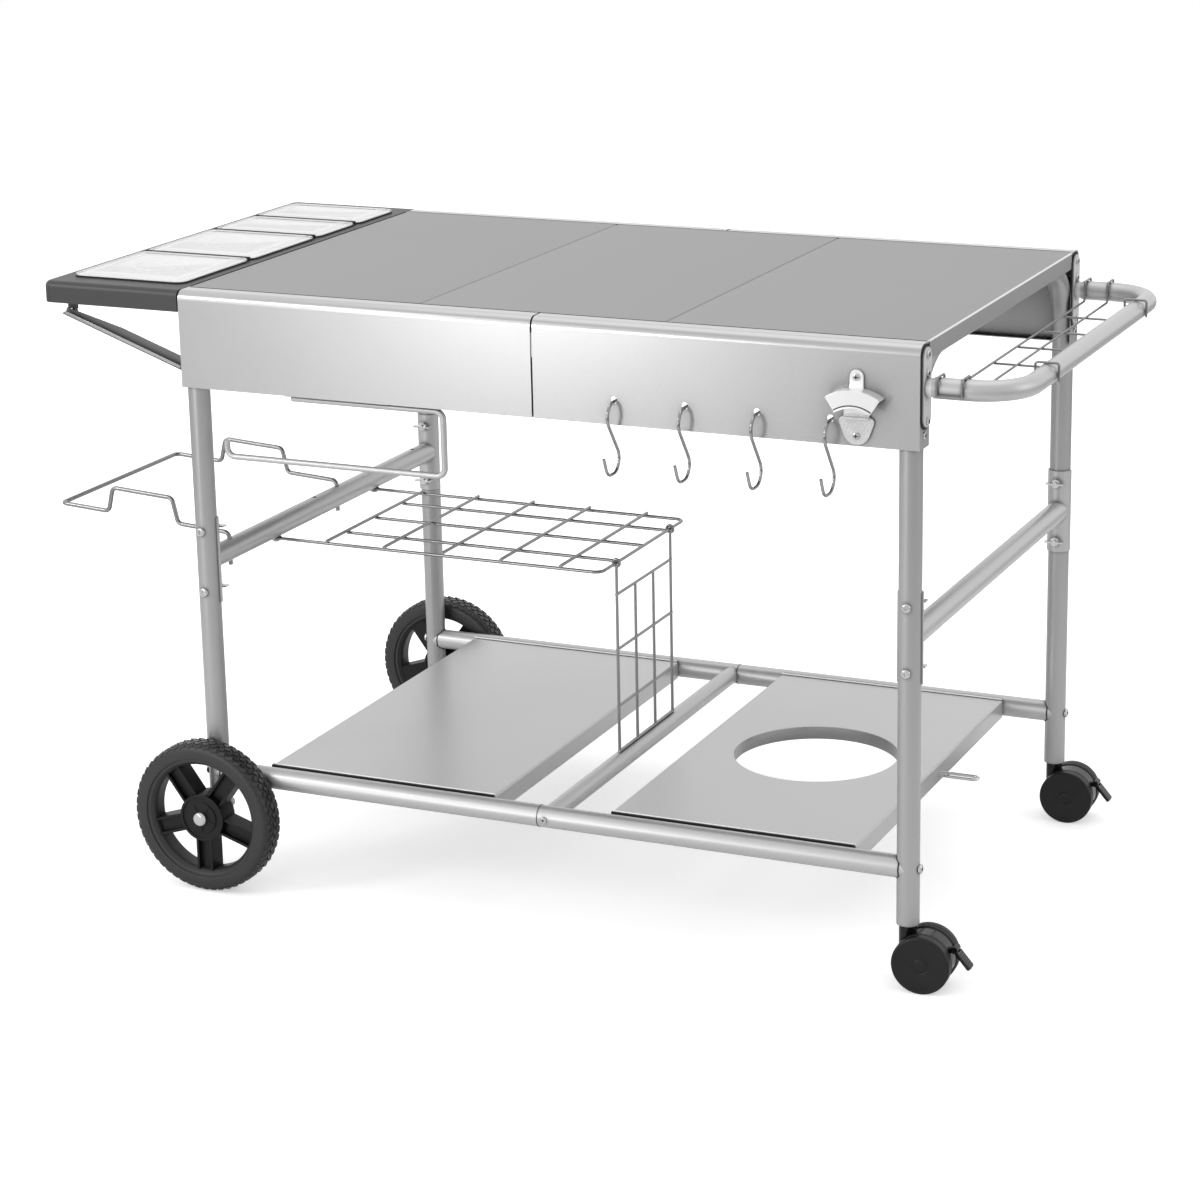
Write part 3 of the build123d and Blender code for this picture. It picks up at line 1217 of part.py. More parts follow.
# Large wheels: one moulding with tyre, hub and channelled spokes between open windows
def wheel(sy):
    hub_r = WHEEL_HUB_D / 2
    rim_r = WHEEL_R - TYRE_DEPTH
    axis = Plane(origin=(-LEG_X, -WHEEL_INNER_Y, WHEEL_R), x_dir=(1, 0, 0), z_dir=(0, -1, 0))
    tyre = extrude(axis * Circle(WHEEL_R), amount=WHEEL_W)
    tyre = fillet(tyre.edges().filter_by(GeomType.CIRCLE), TYRE_ROUND)
    through = WHEEL_W + 2 * CUT_OVER
    tyre = tyre - extrude(axis.offset(-CUT_OVER) * Circle(rim_r), amount=through)
    hub_w = WHEEL_W - 2 * WHEEL_HUB_RECESS
    whole = tyre + extrude(axis.offset(WHEEL_HUB_RECESS) * Circle(hub_r), amount=hub_w)
    spoke_w = WHEEL_W - 2 * SPOKE_INSET
    spoke_mid = (hub_r + rim_r) / 2
    spoke_length = rim_r - hub_r
    spoke = Pos(0, spoke_mid) * Rectangle(SPOKE_W, spoke_length + 2 * SPOKE_RIB_W)
    pocket = Pos(0, spoke_mid) * Rectangle(SPOKE_W - 2 * SPOKE_RIB_W, spoke_length - 2 * SPOKE_RIB_W)
    pocket = fillet(pocket.vertices(), SPOKE_RIB_W / 2)
    pocket_start = WHEEL_W - SPOKE_INSET - SPOKE_POCKET_DEPTH
    for i in range(WHEEL_SPOKES):
        turn = Rot(0, 0, 180 + i * 360 / WHEEL_SPOKES)
        whole = whole + extrude(axis.offset(SPOKE_INSET) * (turn * spoke), amount=spoke_w)
        cut = extrude(axis.offset(pocket_start) * (turn * pocket), amount=SPOKE_POCKET_DEPTH + CUT_OVER)
        whole = whole - cut
    groove_r = hub_r - SPOKE_RIB_W
    groove = Circle(groove_r) - Circle(groove_r - HUB_GROOVE_W)
    groove_start = WHEEL_W - WHEEL_HUB_RECESS - HUB_GROOVE_DEPTH
    whole = whole - extrude(axis.offset(groove_start) * groove, amount=HUB_GROOVE_DEPTH + CUT_OVER)
    whole = whole - extrude(axis.offset(-CUT_OVER) * Circle(AXLE_D / 2 + RUN_CLEAR), amount=through)
    return whole if sy < 0 else mirror(whole, about=Plane.XZ)


save("wheel_front", wheel(-1))
save("wheel_rear", wheel(1))


# Wheel axles: a headed bar through the leg and the wheel, with a capped nut outside
def axle(sy):
    z = WHEEL_R
    x = -LEG_X
    head_y = LEG_Y - TUBE_R
    nut_y = HUB_OUTER_Y + REST_GAP
    shaft = bar((x, -head_y, z), (x, -nut_y - AXLE_NUT_H / 2, z), AXLE_D / 2)
    shaft = shaft + bar((x, -head_y + AXLE_HEAD_H, z), (x, -head_y, z), AXLE_HEAD_D / 2)
    spacer = bar((x, -LEG_Y - TUBE_R, z), (x, -HUB_INNER_Y + REST_GAP, z), AXLE_HEAD_D / 2)
    spacer = spacer - bar((x, -LEG_Y, z), (x, -HUB_INNER_Y - CUT_OVER, z), AXLE_D / 2)
    nut = bar((x, -nut_y, z), (x, -nut_y - AXLE_NUT_H, z), AXLE_NUT_D / 2)
    crown = nut.edges().filter_by(GeomType.CIRCLE).sort_by(Axis.Y)[0]
    nut = fillet(crown, AXLE_NUT_ROUND)
    nut = nut - bar((x, -nut_y, z), (x, -nut_y - AXLE_NUT_H / 2, z), AXLE_D / 2)
    pieces = [shaft, spacer, nut]
    return pieces if sy < 0 else [mirror(piece, about=Plane.XZ) for piece in pieces]


save("wheel_axles", *axle(-1), *axle(1))


# Casters: plug in the leg, swivel housing with a fender, twin wheels on an axle, and a brake pedal
CASTER_COLLAR_Z = CASTER_LEG_END_Z - CASTER_COLLAR_H
CASTER_AXLE_Z = CASTER_R
FENDER_HALF = CASTER_DISC_GAP / 2 - CASTER_SIDE_CLEAR
FENDER_R = CASTER_R - CASTER_FENDER_INSET
BRAKE_REACH = CASTER_R + BRAKE_KNUCKLE_D / 2
BRAKE_X = CASTER_TRAIL + BRAKE_REACH * math.cos(math.radians(BRAKE_PIVOT_ANGLE))
BRAKE_Z = CASTER_AXLE_Z + BRAKE_REACH * math.sin(math.radians(BRAKE_PIVOT_ANGLE))


def caster_plug():
    end_z = CASTER_LEG_END_Z
    plug = bar((0, 0, end_z), (0, 0, end_z + CASTER_PLUG_LENGTH), TUBE_BORE_R - SLIP / 2)
    plug = plug + bar((0, 0, CASTER_COLLAR_Z), (0, 0, end_z), CASTER_NECK_D / 2)
    plug = plug + bar((0, 0, end_z - CASTER_COLLAR_H / 2), (0, 0, end_z), TUBE_R)
    top = CASTER_COLLAR_Z + CASTER_STEM_REACH + CUT_OVER
    return plug - bar((0, 0, CASTER_COLLAR_Z - CUT_OVER), (0, 0, top), CASTER_STEM_D / 2 + RUN_CLEAR)


def caster_housing():
    neck_top = CASTER_COLLAR_Z - REST_GAP
    stem = bar((0, 0, CASTER_AXLE_Z), (0, 0, CASTER_COLLAR_Z + CASTER_STEM_REACH), CASTER_STEM_D / 2)
    neck = bar((0, 0, CASTER_AXLE_Z), (0, 0, neck_top), CASTER_NECK_D / 2)
    front = Plane(origin=(CASTER_TRAIL, -FENDER_HALF, CASTER_AXLE_Z), x_dir=(1, 0, 0), z_dir=(0, -1, 0))
    drum = extrude(front * Circle(FENDER_R), amount=-2 * FENDER_HALF)
    low_z = CASTER_AXLE_Z - CASTER_FENDER_BELOW
    drum = drum - box(-CASTER_R, CASTER_TRAIL + CASTER_R, -CASTER_R, CASTER_R, 0, low_z)
    clear_r = CASTER_R + CASTER_SIDE_CLEAR
    wheel_space = extrude(front * Circle(clear_r), amount=CASTER_NECK_D)
    wheel_space = wheel_space + mirror(wheel_space, about=Plane.XZ)
    half = BRAKE_KNUCKLE_W / 2
    arm = Pos(BRAKE_REACH / 2, 0, 0) * Box(BRAKE_REACH, BRAKE_ARM_W, BRAKE_ARM_T)
    arm = Pos(CASTER_TRAIL, 0, CASTER_AXLE_Z) * Rot(0, -BRAKE_PIVOT_ANGLE, 0) * arm
    knuckle = bar((BRAKE_X, -half, BRAKE_Z), (BRAKE_X, half, BRAKE_Z), BRAKE_KNUCKLE_D / 2)
    pin_half = half + REST_GAP + BRAKE_EAR_T
    pin = bar((BRAKE_X, -pin_half, BRAKE_Z), (BRAKE_X, pin_half, BRAKE_Z), BRAKE_PIN_D / 2)
    ends = ((CASTER_TRAIL, -CASTER_R, CASTER_AXLE_Z), (CASTER_TRAIL, CASTER_R, CASTER_AXLE_Z))
    bore = bar(*ends, CASTER_AXLE_D / 2 + RUN_CLEAR)
    return drum + (neck - wheel_space) + stem + arm + knuckle + pin - bore


def caster_wheels():
    inner = CASTER_DISC_GAP / 2
    outer = inner + CASTER_DISC_W
    reach = outer - CASTER_AXLE_INSET
    x = CASTER_TRAIL
    z = CASTER_AXLE_Z
    whole = bar((x, -reach, z), (x, reach, z), CASTER_AXLE_D / 2)
    for sy in (-1, 1):
        disc = bar((x, sy * inner, z), (x, sy * outer, z), CASTER_R)
        disc = fillet(disc.edges().filter_by(GeomType.CIRCLE), CASTER_DISC_ROUND)
        whole = whole + disc
    return whole


def brake_pedal():
    near = BRAKE_KNUCKLE_W / 2 + REST_GAP
    start = BRAKE_KNUCKLE_D / 2 + BRAKE_PEDAL_CLEAR
    mid = start + BRAKE_PEDAL_LENGTH / 2
    plate = Pos(mid, 0, 0) * Box(BRAKE_PEDAL_LENGTH, BRAKE_PEDAL_W, BRAKE_PEDAL_T)
    plate = fillet(plate.edges().filter_by(Axis.Z).sort_by(Axis.X)[-2:], BRAKE_EAR_T)
    pieces = [plate]
    for sy in (-1, 1):
        ear_length = start + BRAKE_EAR_T
        ear_y = sy * (near + BRAKE_EAR_T / 2)
        ear = Pos(ear_length / 2, ear_y, 0) * Box(ear_length, BRAKE_EAR_T, BRAKE_PEDAL_T)
        eye = bar((0, sy * near, 0), (0, sy * (near + BRAKE_EAR_T), 0), BRAKE_KNUCKLE_D / 2)
        pieces += [ear, eye]
    bore = bar((0, -BRAKE_PEDAL_W, 0), (0, BRAKE_PEDAL_W, 0), BRAKE_PIN_D / 2 + RUN_CLEAR)
    lever = fused(pieces) - bore
    return Pos(BRAKE_X, 0, BRAKE_Z) * Rot(0, -BRAKE_PEDAL_TILT, 0) * lever


def at_leg(piece, sy):
    """A caster piece under one of the right legs, turned about its stem."""
    return Pos(LEG_X, sy * LEG_Y, 0) * Rot(0, 0, CASTER_TURN) * piece


save("caster_plugs", at_leg(caster_plug(), -1), at_leg(caster_plug(), 1))
for sy, place in ((-1, "front"), (1, "rear")):
    save(f"caster_housing_{place}", at_leg(caster_housing(), sy))
    save(f"caster_wheels_{place}", at_leg(caster_wheels(), sy))
    save(f"caster_brake_{place}", at_leg(brake_pedal(), sy))


# Fasteners: bolts and wing nuts of the saddles, and all smaller screws
def wing_nut(sx, sy, z):
    seat = LEG_Y - TUBE_R - SADDLE_T
    x = sx * LEG_X
    y0 = sy * seat
    foot_y = sy * (seat - WING_FOOT)
    hub_y = sy * (seat - WING_HUB_H)
    tip_y = sy * (seat - WING_H)
    out_y = sy * (seat - WING_H - CUT_OVER)
    half = WING_SPAN / 2
    notch = WING_NOTCH_W / 2
    nut = bar((x, y0, z), (x, hub_y, z), WING_HUB_D / 2)
    nut = nut + box(x - half, x + half, foot_y, tip_y, z - WING_T / 2, z + WING_T / 2)
    nut = nut - box(x - notch, x + notch, hub_y, out_y, z - WING_T, z + WING_T)
    return nut - bar((x, y0 + sy * CUT_OVER, z), (x, out_y, z), BOLT_R + SLIP / 2)


saddle_bolts = [screw(*place, head_d=BOLT_HEAD_D, head_h=BOLT_HEAD_H) for place in saddle_bolt_places]
save("saddle_bolts", *saddle_bolts)
wing_nuts = []
for sx in (-1, 1):
    for sy in (-1, 1):
        for rise in (-SADDLE_BOLT_RISE, SADDLE_BOLT_RISE):
            wing_nuts.append(wing_nut(sx, sy, CROSS_Z + rise))
save("wing_nuts", *wing_nuts)

frame_screws = [screw(*place, head_d=BOLT_HEAD_D, head_h=BOLT_HEAD_H) for place in rail_bolt_places]
small_places = crossbar_screw_places + shelf_screw_places + apron_screw_places + bracket_screw_places
small_places = small_places + hinge_screw_places + eyelet_screw_places
small_places = small_places + towel_screw_places + opener_screw_places
frame_screws += [screw(*place) for place in small_places]
save("frame_screws", *frame_screws)
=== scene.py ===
import json
import math

import bmesh
import bpy
from mathutils import Matrix, Vector


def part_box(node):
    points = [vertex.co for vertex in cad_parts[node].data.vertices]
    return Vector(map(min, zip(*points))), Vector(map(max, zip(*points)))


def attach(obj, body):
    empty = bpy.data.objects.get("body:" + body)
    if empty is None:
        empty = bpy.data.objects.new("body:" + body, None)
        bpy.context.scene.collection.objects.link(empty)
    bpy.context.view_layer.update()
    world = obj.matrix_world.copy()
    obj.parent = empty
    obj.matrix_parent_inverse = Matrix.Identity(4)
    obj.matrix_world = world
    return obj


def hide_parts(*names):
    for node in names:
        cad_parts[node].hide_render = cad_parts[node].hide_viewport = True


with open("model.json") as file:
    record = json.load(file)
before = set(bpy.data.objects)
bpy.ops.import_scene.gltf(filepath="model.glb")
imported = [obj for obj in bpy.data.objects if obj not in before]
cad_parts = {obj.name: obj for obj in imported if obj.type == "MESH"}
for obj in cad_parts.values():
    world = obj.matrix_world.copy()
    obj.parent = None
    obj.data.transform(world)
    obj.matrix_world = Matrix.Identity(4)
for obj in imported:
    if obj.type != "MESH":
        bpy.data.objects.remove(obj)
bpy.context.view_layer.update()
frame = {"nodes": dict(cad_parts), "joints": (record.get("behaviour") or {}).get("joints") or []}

# Studio
# A white sweep with a large soft lamp to the left of the camera, a weaker one to the right and one
# overhead. The room behind the camera is darker, and that is what the metal shows in its middle.
scene = bpy.context.scene
scene.view_settings.view_transform = "Standard"


def put(tree, kind, settings=None, **sockets):
    """A node of a kind, with its settings, and its sockets set to values or linked to other sockets."""
    made = tree.nodes.new(kind)
    for name, value in (settings or {}).items():
        setattr(made, name, value)
    for name, value in sockets.items():
        socket = made.inputs[name.replace("_", " ")]
        if isinstance(value, bpy.types.NodeSocket):
            tree.links.new(value, socket)
        else:
            socket.default_value = value
    return made


def maths(tree, operation, first, second=0.5):
    """The value of a sum on two sockets or numbers."""
    made = put(tree, "ShaderNodeMath", {"operation": operation})
    for socket, value in zip(made.inputs, (first, second)):
        if isinstance(value, bpy.types.NodeSocket):
            tree.links.new(value, socket)
        else:
            socket.default_value = value
    return made.outputs[0]


def ranged(tree, value, low, high, to_low, to_high):
    """A value carried from one range to another, and held at its ends."""
    limits = {"From_Min": low, "From_Max": high, "To_Min": to_low, "To_Max": to_high}
    return put(tree, "ShaderNodeMapRange", Value=value, **limits).outputs[0]


eye = bpy.data.objects.new("eye", bpy.data.cameras.new("eye"))
eye.location = (1.70143, -3.71537, 1.57384)
eye.rotation_euler = [math.radians(turn) for turn in (74.59311, 0.73350, 23.02866)]
eye.data.sensor_width = 36
eye.data.lens = 94.2774
eye.data.shift_x = -0.063484
eye.data.shift_y = -0.060763
eye.data.clip_end = 60
scene.collection.objects.link(eye)
scene.camera = eye

look_at = Vector((0, 0, 0.45))
lamps = (
    ("left_strip", (-1.56, -3.8, 0.75), (0.5, 1.4), 20),
    ("left_softbox", (-2.6, -2.9, 2.3), (1.0, 1.0), 34),
    ("right_softbox", (3.8, 0.2, 1.6), (1.6, 2.4), 12),
    ("overhead_softbox", (0.0, 0.4, 3.6), (3.4, 3.0), 17),
)
for lamp_name, lamp_place, lamp_size, lamp_power in lamps:
    lamp = bpy.data.objects.new(lamp_name, bpy.data.lights.new(lamp_name, "AREA"))
    lamp.data.shape = "RECTANGLE"
    lamp.data.size, lamp.data.size_y = lamp_size
    lamp.data.energy = lamp_power
    lamp.location = lamp_place
    lamp.rotation_euler = (look_at - lamp.location).to_track_quat("-Z", "Y").to_euler()
    scene.collection.objects.link(lamp)

room = bpy.data.worlds.new("studio room")
scene.world = room
room.use_nodes = True
tree = room.node_tree
tree.nodes.clear()
towards_camera = (0.38, -0.92, 0.05)
dark_from, dark_full, dark_side = 0.15, 0.9, 0.28
room_fill = 0.8
path = put(tree, "ShaderNodeLightPath")
heading = put(tree, "ShaderNodeTexCoord")
facing = put(tree, "ShaderNodeVectorMath", {"operation": "DOT_PRODUCT"})
tree.links.new(heading.outputs["Generated"], facing.inputs[0])
facing.inputs[1].default_value = towards_camera
gloss = ranged(tree, facing.outputs["Value"], dark_from, dark_full, 1.0, dark_side)
seen = maths(tree, "MAXIMUM", path.outputs["Is Camera Ray"], path.outputs["Is Transmission Ray"])
shown = maths(tree, "MAXIMUM", seen, maths(tree, "MULTIPLY", path.outputs["Is Glossy Ray"], gloss))
level = maths(tree, "MAXIMUM", shown, room_fill)
light = put(tree, "ShaderNodeBackground", Color=(1, 1, 1, 1), Strength=level)
tree.links.new(light.outputs[0], put(tree, "ShaderNodeOutputWorld").inputs["Surface"])

sweep = bmesh.new()
sweep_half = 9.0
bmesh.ops.create_grid(sweep, x_segments=6, y_segments=6, size=sweep_half)
floor_mesh = bpy.data.meshes.new("floor")
sweep.to_mesh(floor_mesh)
sweep.free()
floor = bpy.data.objects.new("floor", floor_mesh)
scene.collection.objects.link(floor)
paper = bpy.data.materials.new("white paper sweep")
paper.use_nodes = True
tree = paper.node_tree
surface = tree.nodes["Principled BSDF"]
surface.inputs["Roughness"].default_value = 0.9
surface.inputs["Emission Color"].default_value = (1, 1, 1, 1)
path = put(tree, "ShaderNodeLightPath")
spot = put(tree, "ShaderNodeTexCoord").outputs["Object"]
away = put(tree, "ShaderNodeVectorMath", {"operation": "LENGTH"})
tree.links.new(spot, away.inputs[0])
paper_from, paper_to, paper_near, paper_far = 1.3, 2.6, 0.92, 0.44
glow_from, glow_to, glow_near = 0.9, 2.2, 0.45
paper_end = ranged(tree, away.outputs["Value"], paper_from, paper_to, paper_near, paper_far)
tree.links.new(paper_end, surface.inputs["Base Color"])
white = ranged(tree, away.outputs["Value"], glow_from, glow_to, glow_near, 1.0)
lift = maths(tree, "MULTIPLY", path.outputs["Is Camera Ray"], white)
tree.links.new(lift, surface.inputs["Emission Strength"])
floor_mesh.materials.append(paper)

# Tube frame
# Bent and straight steel tube: two end frames, four lower legs, cross rails, bottom rails and a
# crossbar. All of it is coated in a satin silver-grey powder with a fine orange peel. The coat paints
# shade into its corners, and the rails wear a lighter copy of it that paints light on them.


def shader_group(name, inputs, outputs):
    """An empty group of shader nodes with named sockets, and its two ends."""
    group = bpy.data.node_groups.new(name, "ShaderNodeTree")
    for label, kind, value in inputs:
        socket = group.interface.new_socket(name=label, in_out="INPUT", socket_type=kind)
        socket.default_value = value
    for label, kind in outputs:
        group.interface.new_socket(name=label, in_out="OUTPUT", socket_type=kind)
    return group, group.nodes.new("NodeGroupInput"), group.nodes.new("NodeGroupOutput")


def mixed(tree, factor, first, second):
    """One colour laid over another by a factor."""
    made = put(tree, "ShaderNodeMix", {"data_type": "RGBA", "blend_type": "MIX"})
    for index, value in ((0, factor), (6, first), (7, second)):
        if isinstance(value, bpy.types.NodeSocket):
            tree.links.new(value, made.inputs[index])
        else:
            made.inputs[index].default_value = value
    return made.outputs[2]


def noise(tree, vector, scale, detail=2.0, roughness=0.5):
    """A noise value at a scale in lumps per metre."""
    made = put(tree, "ShaderNodeTexNoise", Vector=vector, Scale=scale, Detail=detail, Roughness=roughness)
    return made.outputs[0]


def shifted(tree, value, amount):
    """A noise value moved to lie about zero, times an amount."""
    return maths(tree, "MULTIPLY", maths(tree, "SUBTRACT", value, 0.5), amount)


def scaled(tree, colour, share):
    """A colour made lighter or darker by a share."""
    made = put(tree, "ShaderNodeVectorMath", {"operation": "SCALE"}, Scale=share)
    tree.links.new(colour, made.inputs[0])
    return made.outputs[0]


FLOAT, COLOUR = "NodeSocketFloat", "NodeSocketColor"
surface_outputs = (("Colour", COLOUR), ("Roughness", FLOAT), ("Height", FLOAT))
peel, ends, out = shader_group(
    "satin coat",
    (
        ("Colour", COLOUR, (0.5, 0.5, 0.5, 1)),
        ("Peel size", FLOAT, 700.0),
        ("Flake", FLOAT, 0.06),
        ("Cloud", FLOAT, 0.05),
        ("Roughness", FLOAT, 0.4),
        ("Corner reach", FLOAT, 0.006),
        ("Corner shade", FLOAT, 0.0),
    ),
    surface_outputs,
)
place = put(peel, "ShaderNodeTexCoord").outputs["Object"]
skin = noise(peel, place, ends.outputs["Peel size"], 2.0)
flakes = put(peel, "ShaderNodeTexVoronoi", Vector=place, Scale=1900.0).outputs["Color"]
flake_value = put(peel, "ShaderNodeSeparateColor", Color=flakes).outputs[0]
cloud = noise(peel, place, 7.0, 3.0)
flake_shift = shifted(peel, flake_value, ends.outputs["Flake"])
cloud_shift = shifted(peel, cloud, ends.outputs["Cloud"])
shade = maths(peel, "ADD", maths(peel, "ADD", flake_shift, cloud_shift), 1.0)
# Ambient occlusion paints shade into the colour: where other surfaces lie within Corner reach, the colour
# darkens by up to Corner shade.
corner = put(peel, "ShaderNodeAmbientOcclusion", {"samples": 6}, Distance=ends.outputs["Corner reach"])
closed = maths(peel, "SUBTRACT", 1.0, corner.outputs["AO"])
open_share = maths(peel, "SUBTRACT", 1.0, maths(peel, "MULTIPLY", closed, ends.outputs["Corner shade"]))
shade = maths(peel, "MULTIPLY", shade, maths(peel, "MAXIMUM", open_share, 0.05))
peel.links.new(scaled(peel, ends.outputs["Colour"], shade), out.inputs["Colour"])
rough = maths(peel, "ADD", ends.outputs["Roughness"], maths(peel, "MULTIPLY", cloud_shift, 1.2))
peel.links.new(rough, out.inputs["Roughness"])
peel.links.new(skin, out.inputs["Height"])


def finish(name, group, values, metallic=0.0, bump=0.1, depth=0.0004, **shader):
    """A material whose colour, roughness and bump come from a group, on a shader with plain settings."""
    made = bpy.data.materials.new(name)
    made.use_nodes = True
    tree = made.node_tree
    shell = tree.nodes["Principled BSDF"]
    coat = put(tree, "ShaderNodeGroup", {"node_tree": group})
    for label, value in values.items():
        coat.inputs[label].default_value = value
    tree.links.new(coat.outputs["Colour"], shell.inputs["Base Color"])
    tree.links.new(coat.outputs["Roughness"], shell.inputs["Roughness"])
    dents = put(tree, "ShaderNodeBump", Strength=bump, Distance=depth, Height=coat.outputs["Height"])
    tree.links.new(dents.outputs["Normal"], shell.inputs["Normal"])
    shell.inputs["Metallic"].default_value = metallic
    for label, value in shader.items():
        shell.inputs[label.replace("_", " ")].default_value = value
    return made


def grey(value):
    """A neutral colour from its display value of 0 to 255."""
    share = value / 255
    linear = share / 12.92 if share < 0.04045 else ((share + 0.055) / 1.055) ** 2.4
    return (linear, linear, linear, 1)


def dress(material, *names):
    """Puts a material on CAD nodes."""
    for name in names:
        node = frame["nodes"][name]
        if not node.material_slots:
            node.data.materials.append(material)
        for slot in node.material_slots:
            slot.material = material


def powder_coat(name, shade):
    """The satin coat of the tubes in a grey, with shade painted into its corners."""
    values = {"Colour": grey(shade), "Roughness": 0.4, "Corner shade": 1.2}
    return finish(name, peel, values, metallic=0.6, bump=0.12, Coat_Weight=0.5, Coat_Roughness=0.25)


silver_coat = powder_coat("silver powder coat", 173)
dress(
    silver_coat,
    "left_end_frame", "right_end_frame",
    "lower_leg_front_left", "lower_leg_front_right", "lower_leg_rear_left", "lower_leg_rear_right",
)
# The rails, handle tube and towel rod get a lighter grey than the legs, which paints light on them.
lit_rail_coat = powder_coat("silver rail coat painted lighter", 193)
dress(
    lit_rail_coat,
    "left_cross_rail", "right_cross_rail",
    "front_rail_left", "front_rail_right", "rear_rail_left", "rear_rail_right", "crossbar",
)

# Aprons
# Folded sheet steel with a rolled top edge, in the same silver coat but a little smoother. Its long
# corner reach paints shade into the colour under the worktop, darkest on the aprons' insides.
apron_coat = finish(
    "silver apron coat",
    peel,
    {
        "Colour": grey(186), "Roughness": 0.3, "Peel size": 520.0,
        "Corner reach": 0.3, "Corner shade": 1.15,
    },
    metallic=0.8,
    bump=0.1,
    Coat_Weight=0.8,
    Coat_Roughness=0.15,
)
dress(apron_coat, "front_apron_left", "front_apron_right", "rear_apron_left", "rear_apron_right")

# Apron joint shade straps
# Dark straps behind the butt joints of the aprons paint the shade in the joints, so that they read as
# dark lines.
strap_values = {"Colour": grey(24), "Roughness": 0.7, "Flake": 0.02}
strap_shade_dark = finish("dark painted joint shade", peel, strap_values, bump=0.05)
strap_half, strap_t, strap_away, strap_reach = 0.012, 0.0012, 0.0026, 0.0245
roll_r, roll_steps = 0.012, 6
half_gap = 0.0012


def made_object(name, mesh, material, sharp=35):
    """An object at the origin from a finished bmesh, smooth but for its sharp edges."""
    bmesh.ops.recalc_face_normals(mesh, faces=mesh.faces)
    data = bpy.data.meshes.new(name)
    mesh.to_mesh(data)
    mesh.free()
    data.materials.append(material)
    for face in data.polygons:
        face.use_smooth = True
    data.set_sharp_from_angle(angle=math.radians(sharp))
    made = bpy.data.objects.new(name, data)
    scene.collection.objects.link(made)
    return made


def prism(mesh, outline, start, end):
    """A closed outline of vectors, carried from one offset to another."""
    low = [mesh.verts.new(point + start) for point in outline]
    high = [mesh.verts.new(point + end) for point in outline]
    for index in range(len(outline)):
        mesh.faces.new((low[index - 1], low[index], high[index], high[index - 1]))
    mesh.faces.new(low)
    mesh.faces.new(high[::-1])


def rolled_path(face_y, inward, low_z, top_z, depth):
    """Points up the inside of an apron, round its rolled top and along to the worktop."""
    points = [(face_y + inward * depth, low_z)]
    reach = roll_r - depth
    for step in range(roll_steps + 1):
        turn = math.radians(90 * step / roll_steps)
        y = face_y + inward * (roll_r - reach * math.cos(turn))
        points.append((y, top_z - roll_r + reach * math.sin(turn)))
    return points + [(face_y + inward * strap_reach, top_z - depth)]


for face_name, inward in (("front", 1), ("rear", -1)):
    left_low, left_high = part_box(f"{face_name}_apron_left")
    right_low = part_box(f"{face_name}_apron_right")[0]
    joint_x = right_low.x - half_gap if inward > 0 else left_high.x + half_gap
    face_y = left_low.y if inward > 0 else left_high.y
    bottom = left_low.z + 2 * strap_t
    outer = rolled_path(face_y, inward, bottom, left_high.z, strap_away)
    inner = rolled_path(face_y, inward, bottom, left_high.z, strap_away + strap_t)
    section = [Vector((joint_x, y, z)) for y, z in outer + inner[::-1]]
    strap = bmesh.new()
    prism(strap, section, Vector((-strap_half, 0, 0)), Vector((strap_half, 0, 0)))
    piece = made_object(f"joint_shade_strap_{face_name}", strap, strap_shade_dark)
    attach(piece, "cart")

# Worktop panels
# Three sheets of satin steel, finely grained along the cart, lying flush between the aprons.
grain, ends, out = shader_group(
    "grained sheet",
    (
        ("Colour", COLOUR, (0.4, 0.4, 0.4, 1)),
        ("Grain", FLOAT, 0.05),
        ("Cloud", FLOAT, 0.04),
        ("Roughness", FLOAT, 0.45),
        ("Stretch", FLOAT, 40.0),
    ),
    surface_outputs,
)
place = put(grain, "ShaderNodeTexCoord").outputs["Object"]
drawn = put(grain, "ShaderNodeMapping", Vector=place)
stretch = put(grain, "ShaderNodeCombineXYZ", X=ends.outputs["Stretch"], Y=1400.0, Z=1400.0).outputs[0]
grain.links.new(stretch, drawn.inputs["Scale"])
lines = noise(grain, drawn.outputs[0], 1.0, 3.0, 0.6)
cloud = noise(grain, place, 5.0, 2.0)
line_shift = shifted(grain, lines, ends.outputs["Grain"])
cloud_shift = shifted(grain, cloud, ends.outputs["Cloud"])
shade = maths(grain, "ADD", maths(grain, "ADD", line_shift, cloud_shift), 1.0)
grain.links.new(scaled(grain, ends.outputs["Colour"], shade), out.inputs["Colour"])
rough = maths(grain, "ADD", ends.outputs["Roughness"], maths(grain, "MULTIPLY", line_shift, 1.5))
grain.links.new(rough, out.inputs["Roughness"])
grain.links.new(lines, out.inputs["Height"])
sheet_values = {"Colour": grey(155), "Roughness": 0.52}
grain_depth = 0.0002
worktop_sheet = finish(
    "grained worktop sheet", grain, sheet_values, metallic=0.25, bump=0.08, depth=grain_depth
)
sheet = 0.0012
fold_r = 0.0022
fold_steps = 5


def folded_edge(low_x, high_x, low_z, top_z, radius):
    """Half of a folded sheet's section: up one flange, round both folds and down the other."""
    points = [(low_x, low_z)]
    for centre_x, start in ((low_x + radius, 180), (high_x - radius, 90)):
        for step in range(fold_steps + 1):
            turn = math.radians(start - 90 * step / fold_steps)
            points.append((centre_x + radius * math.cos(turn), top_z - radius + radius * math.sin(turn)))
    return points + [(high_x, low_z)]


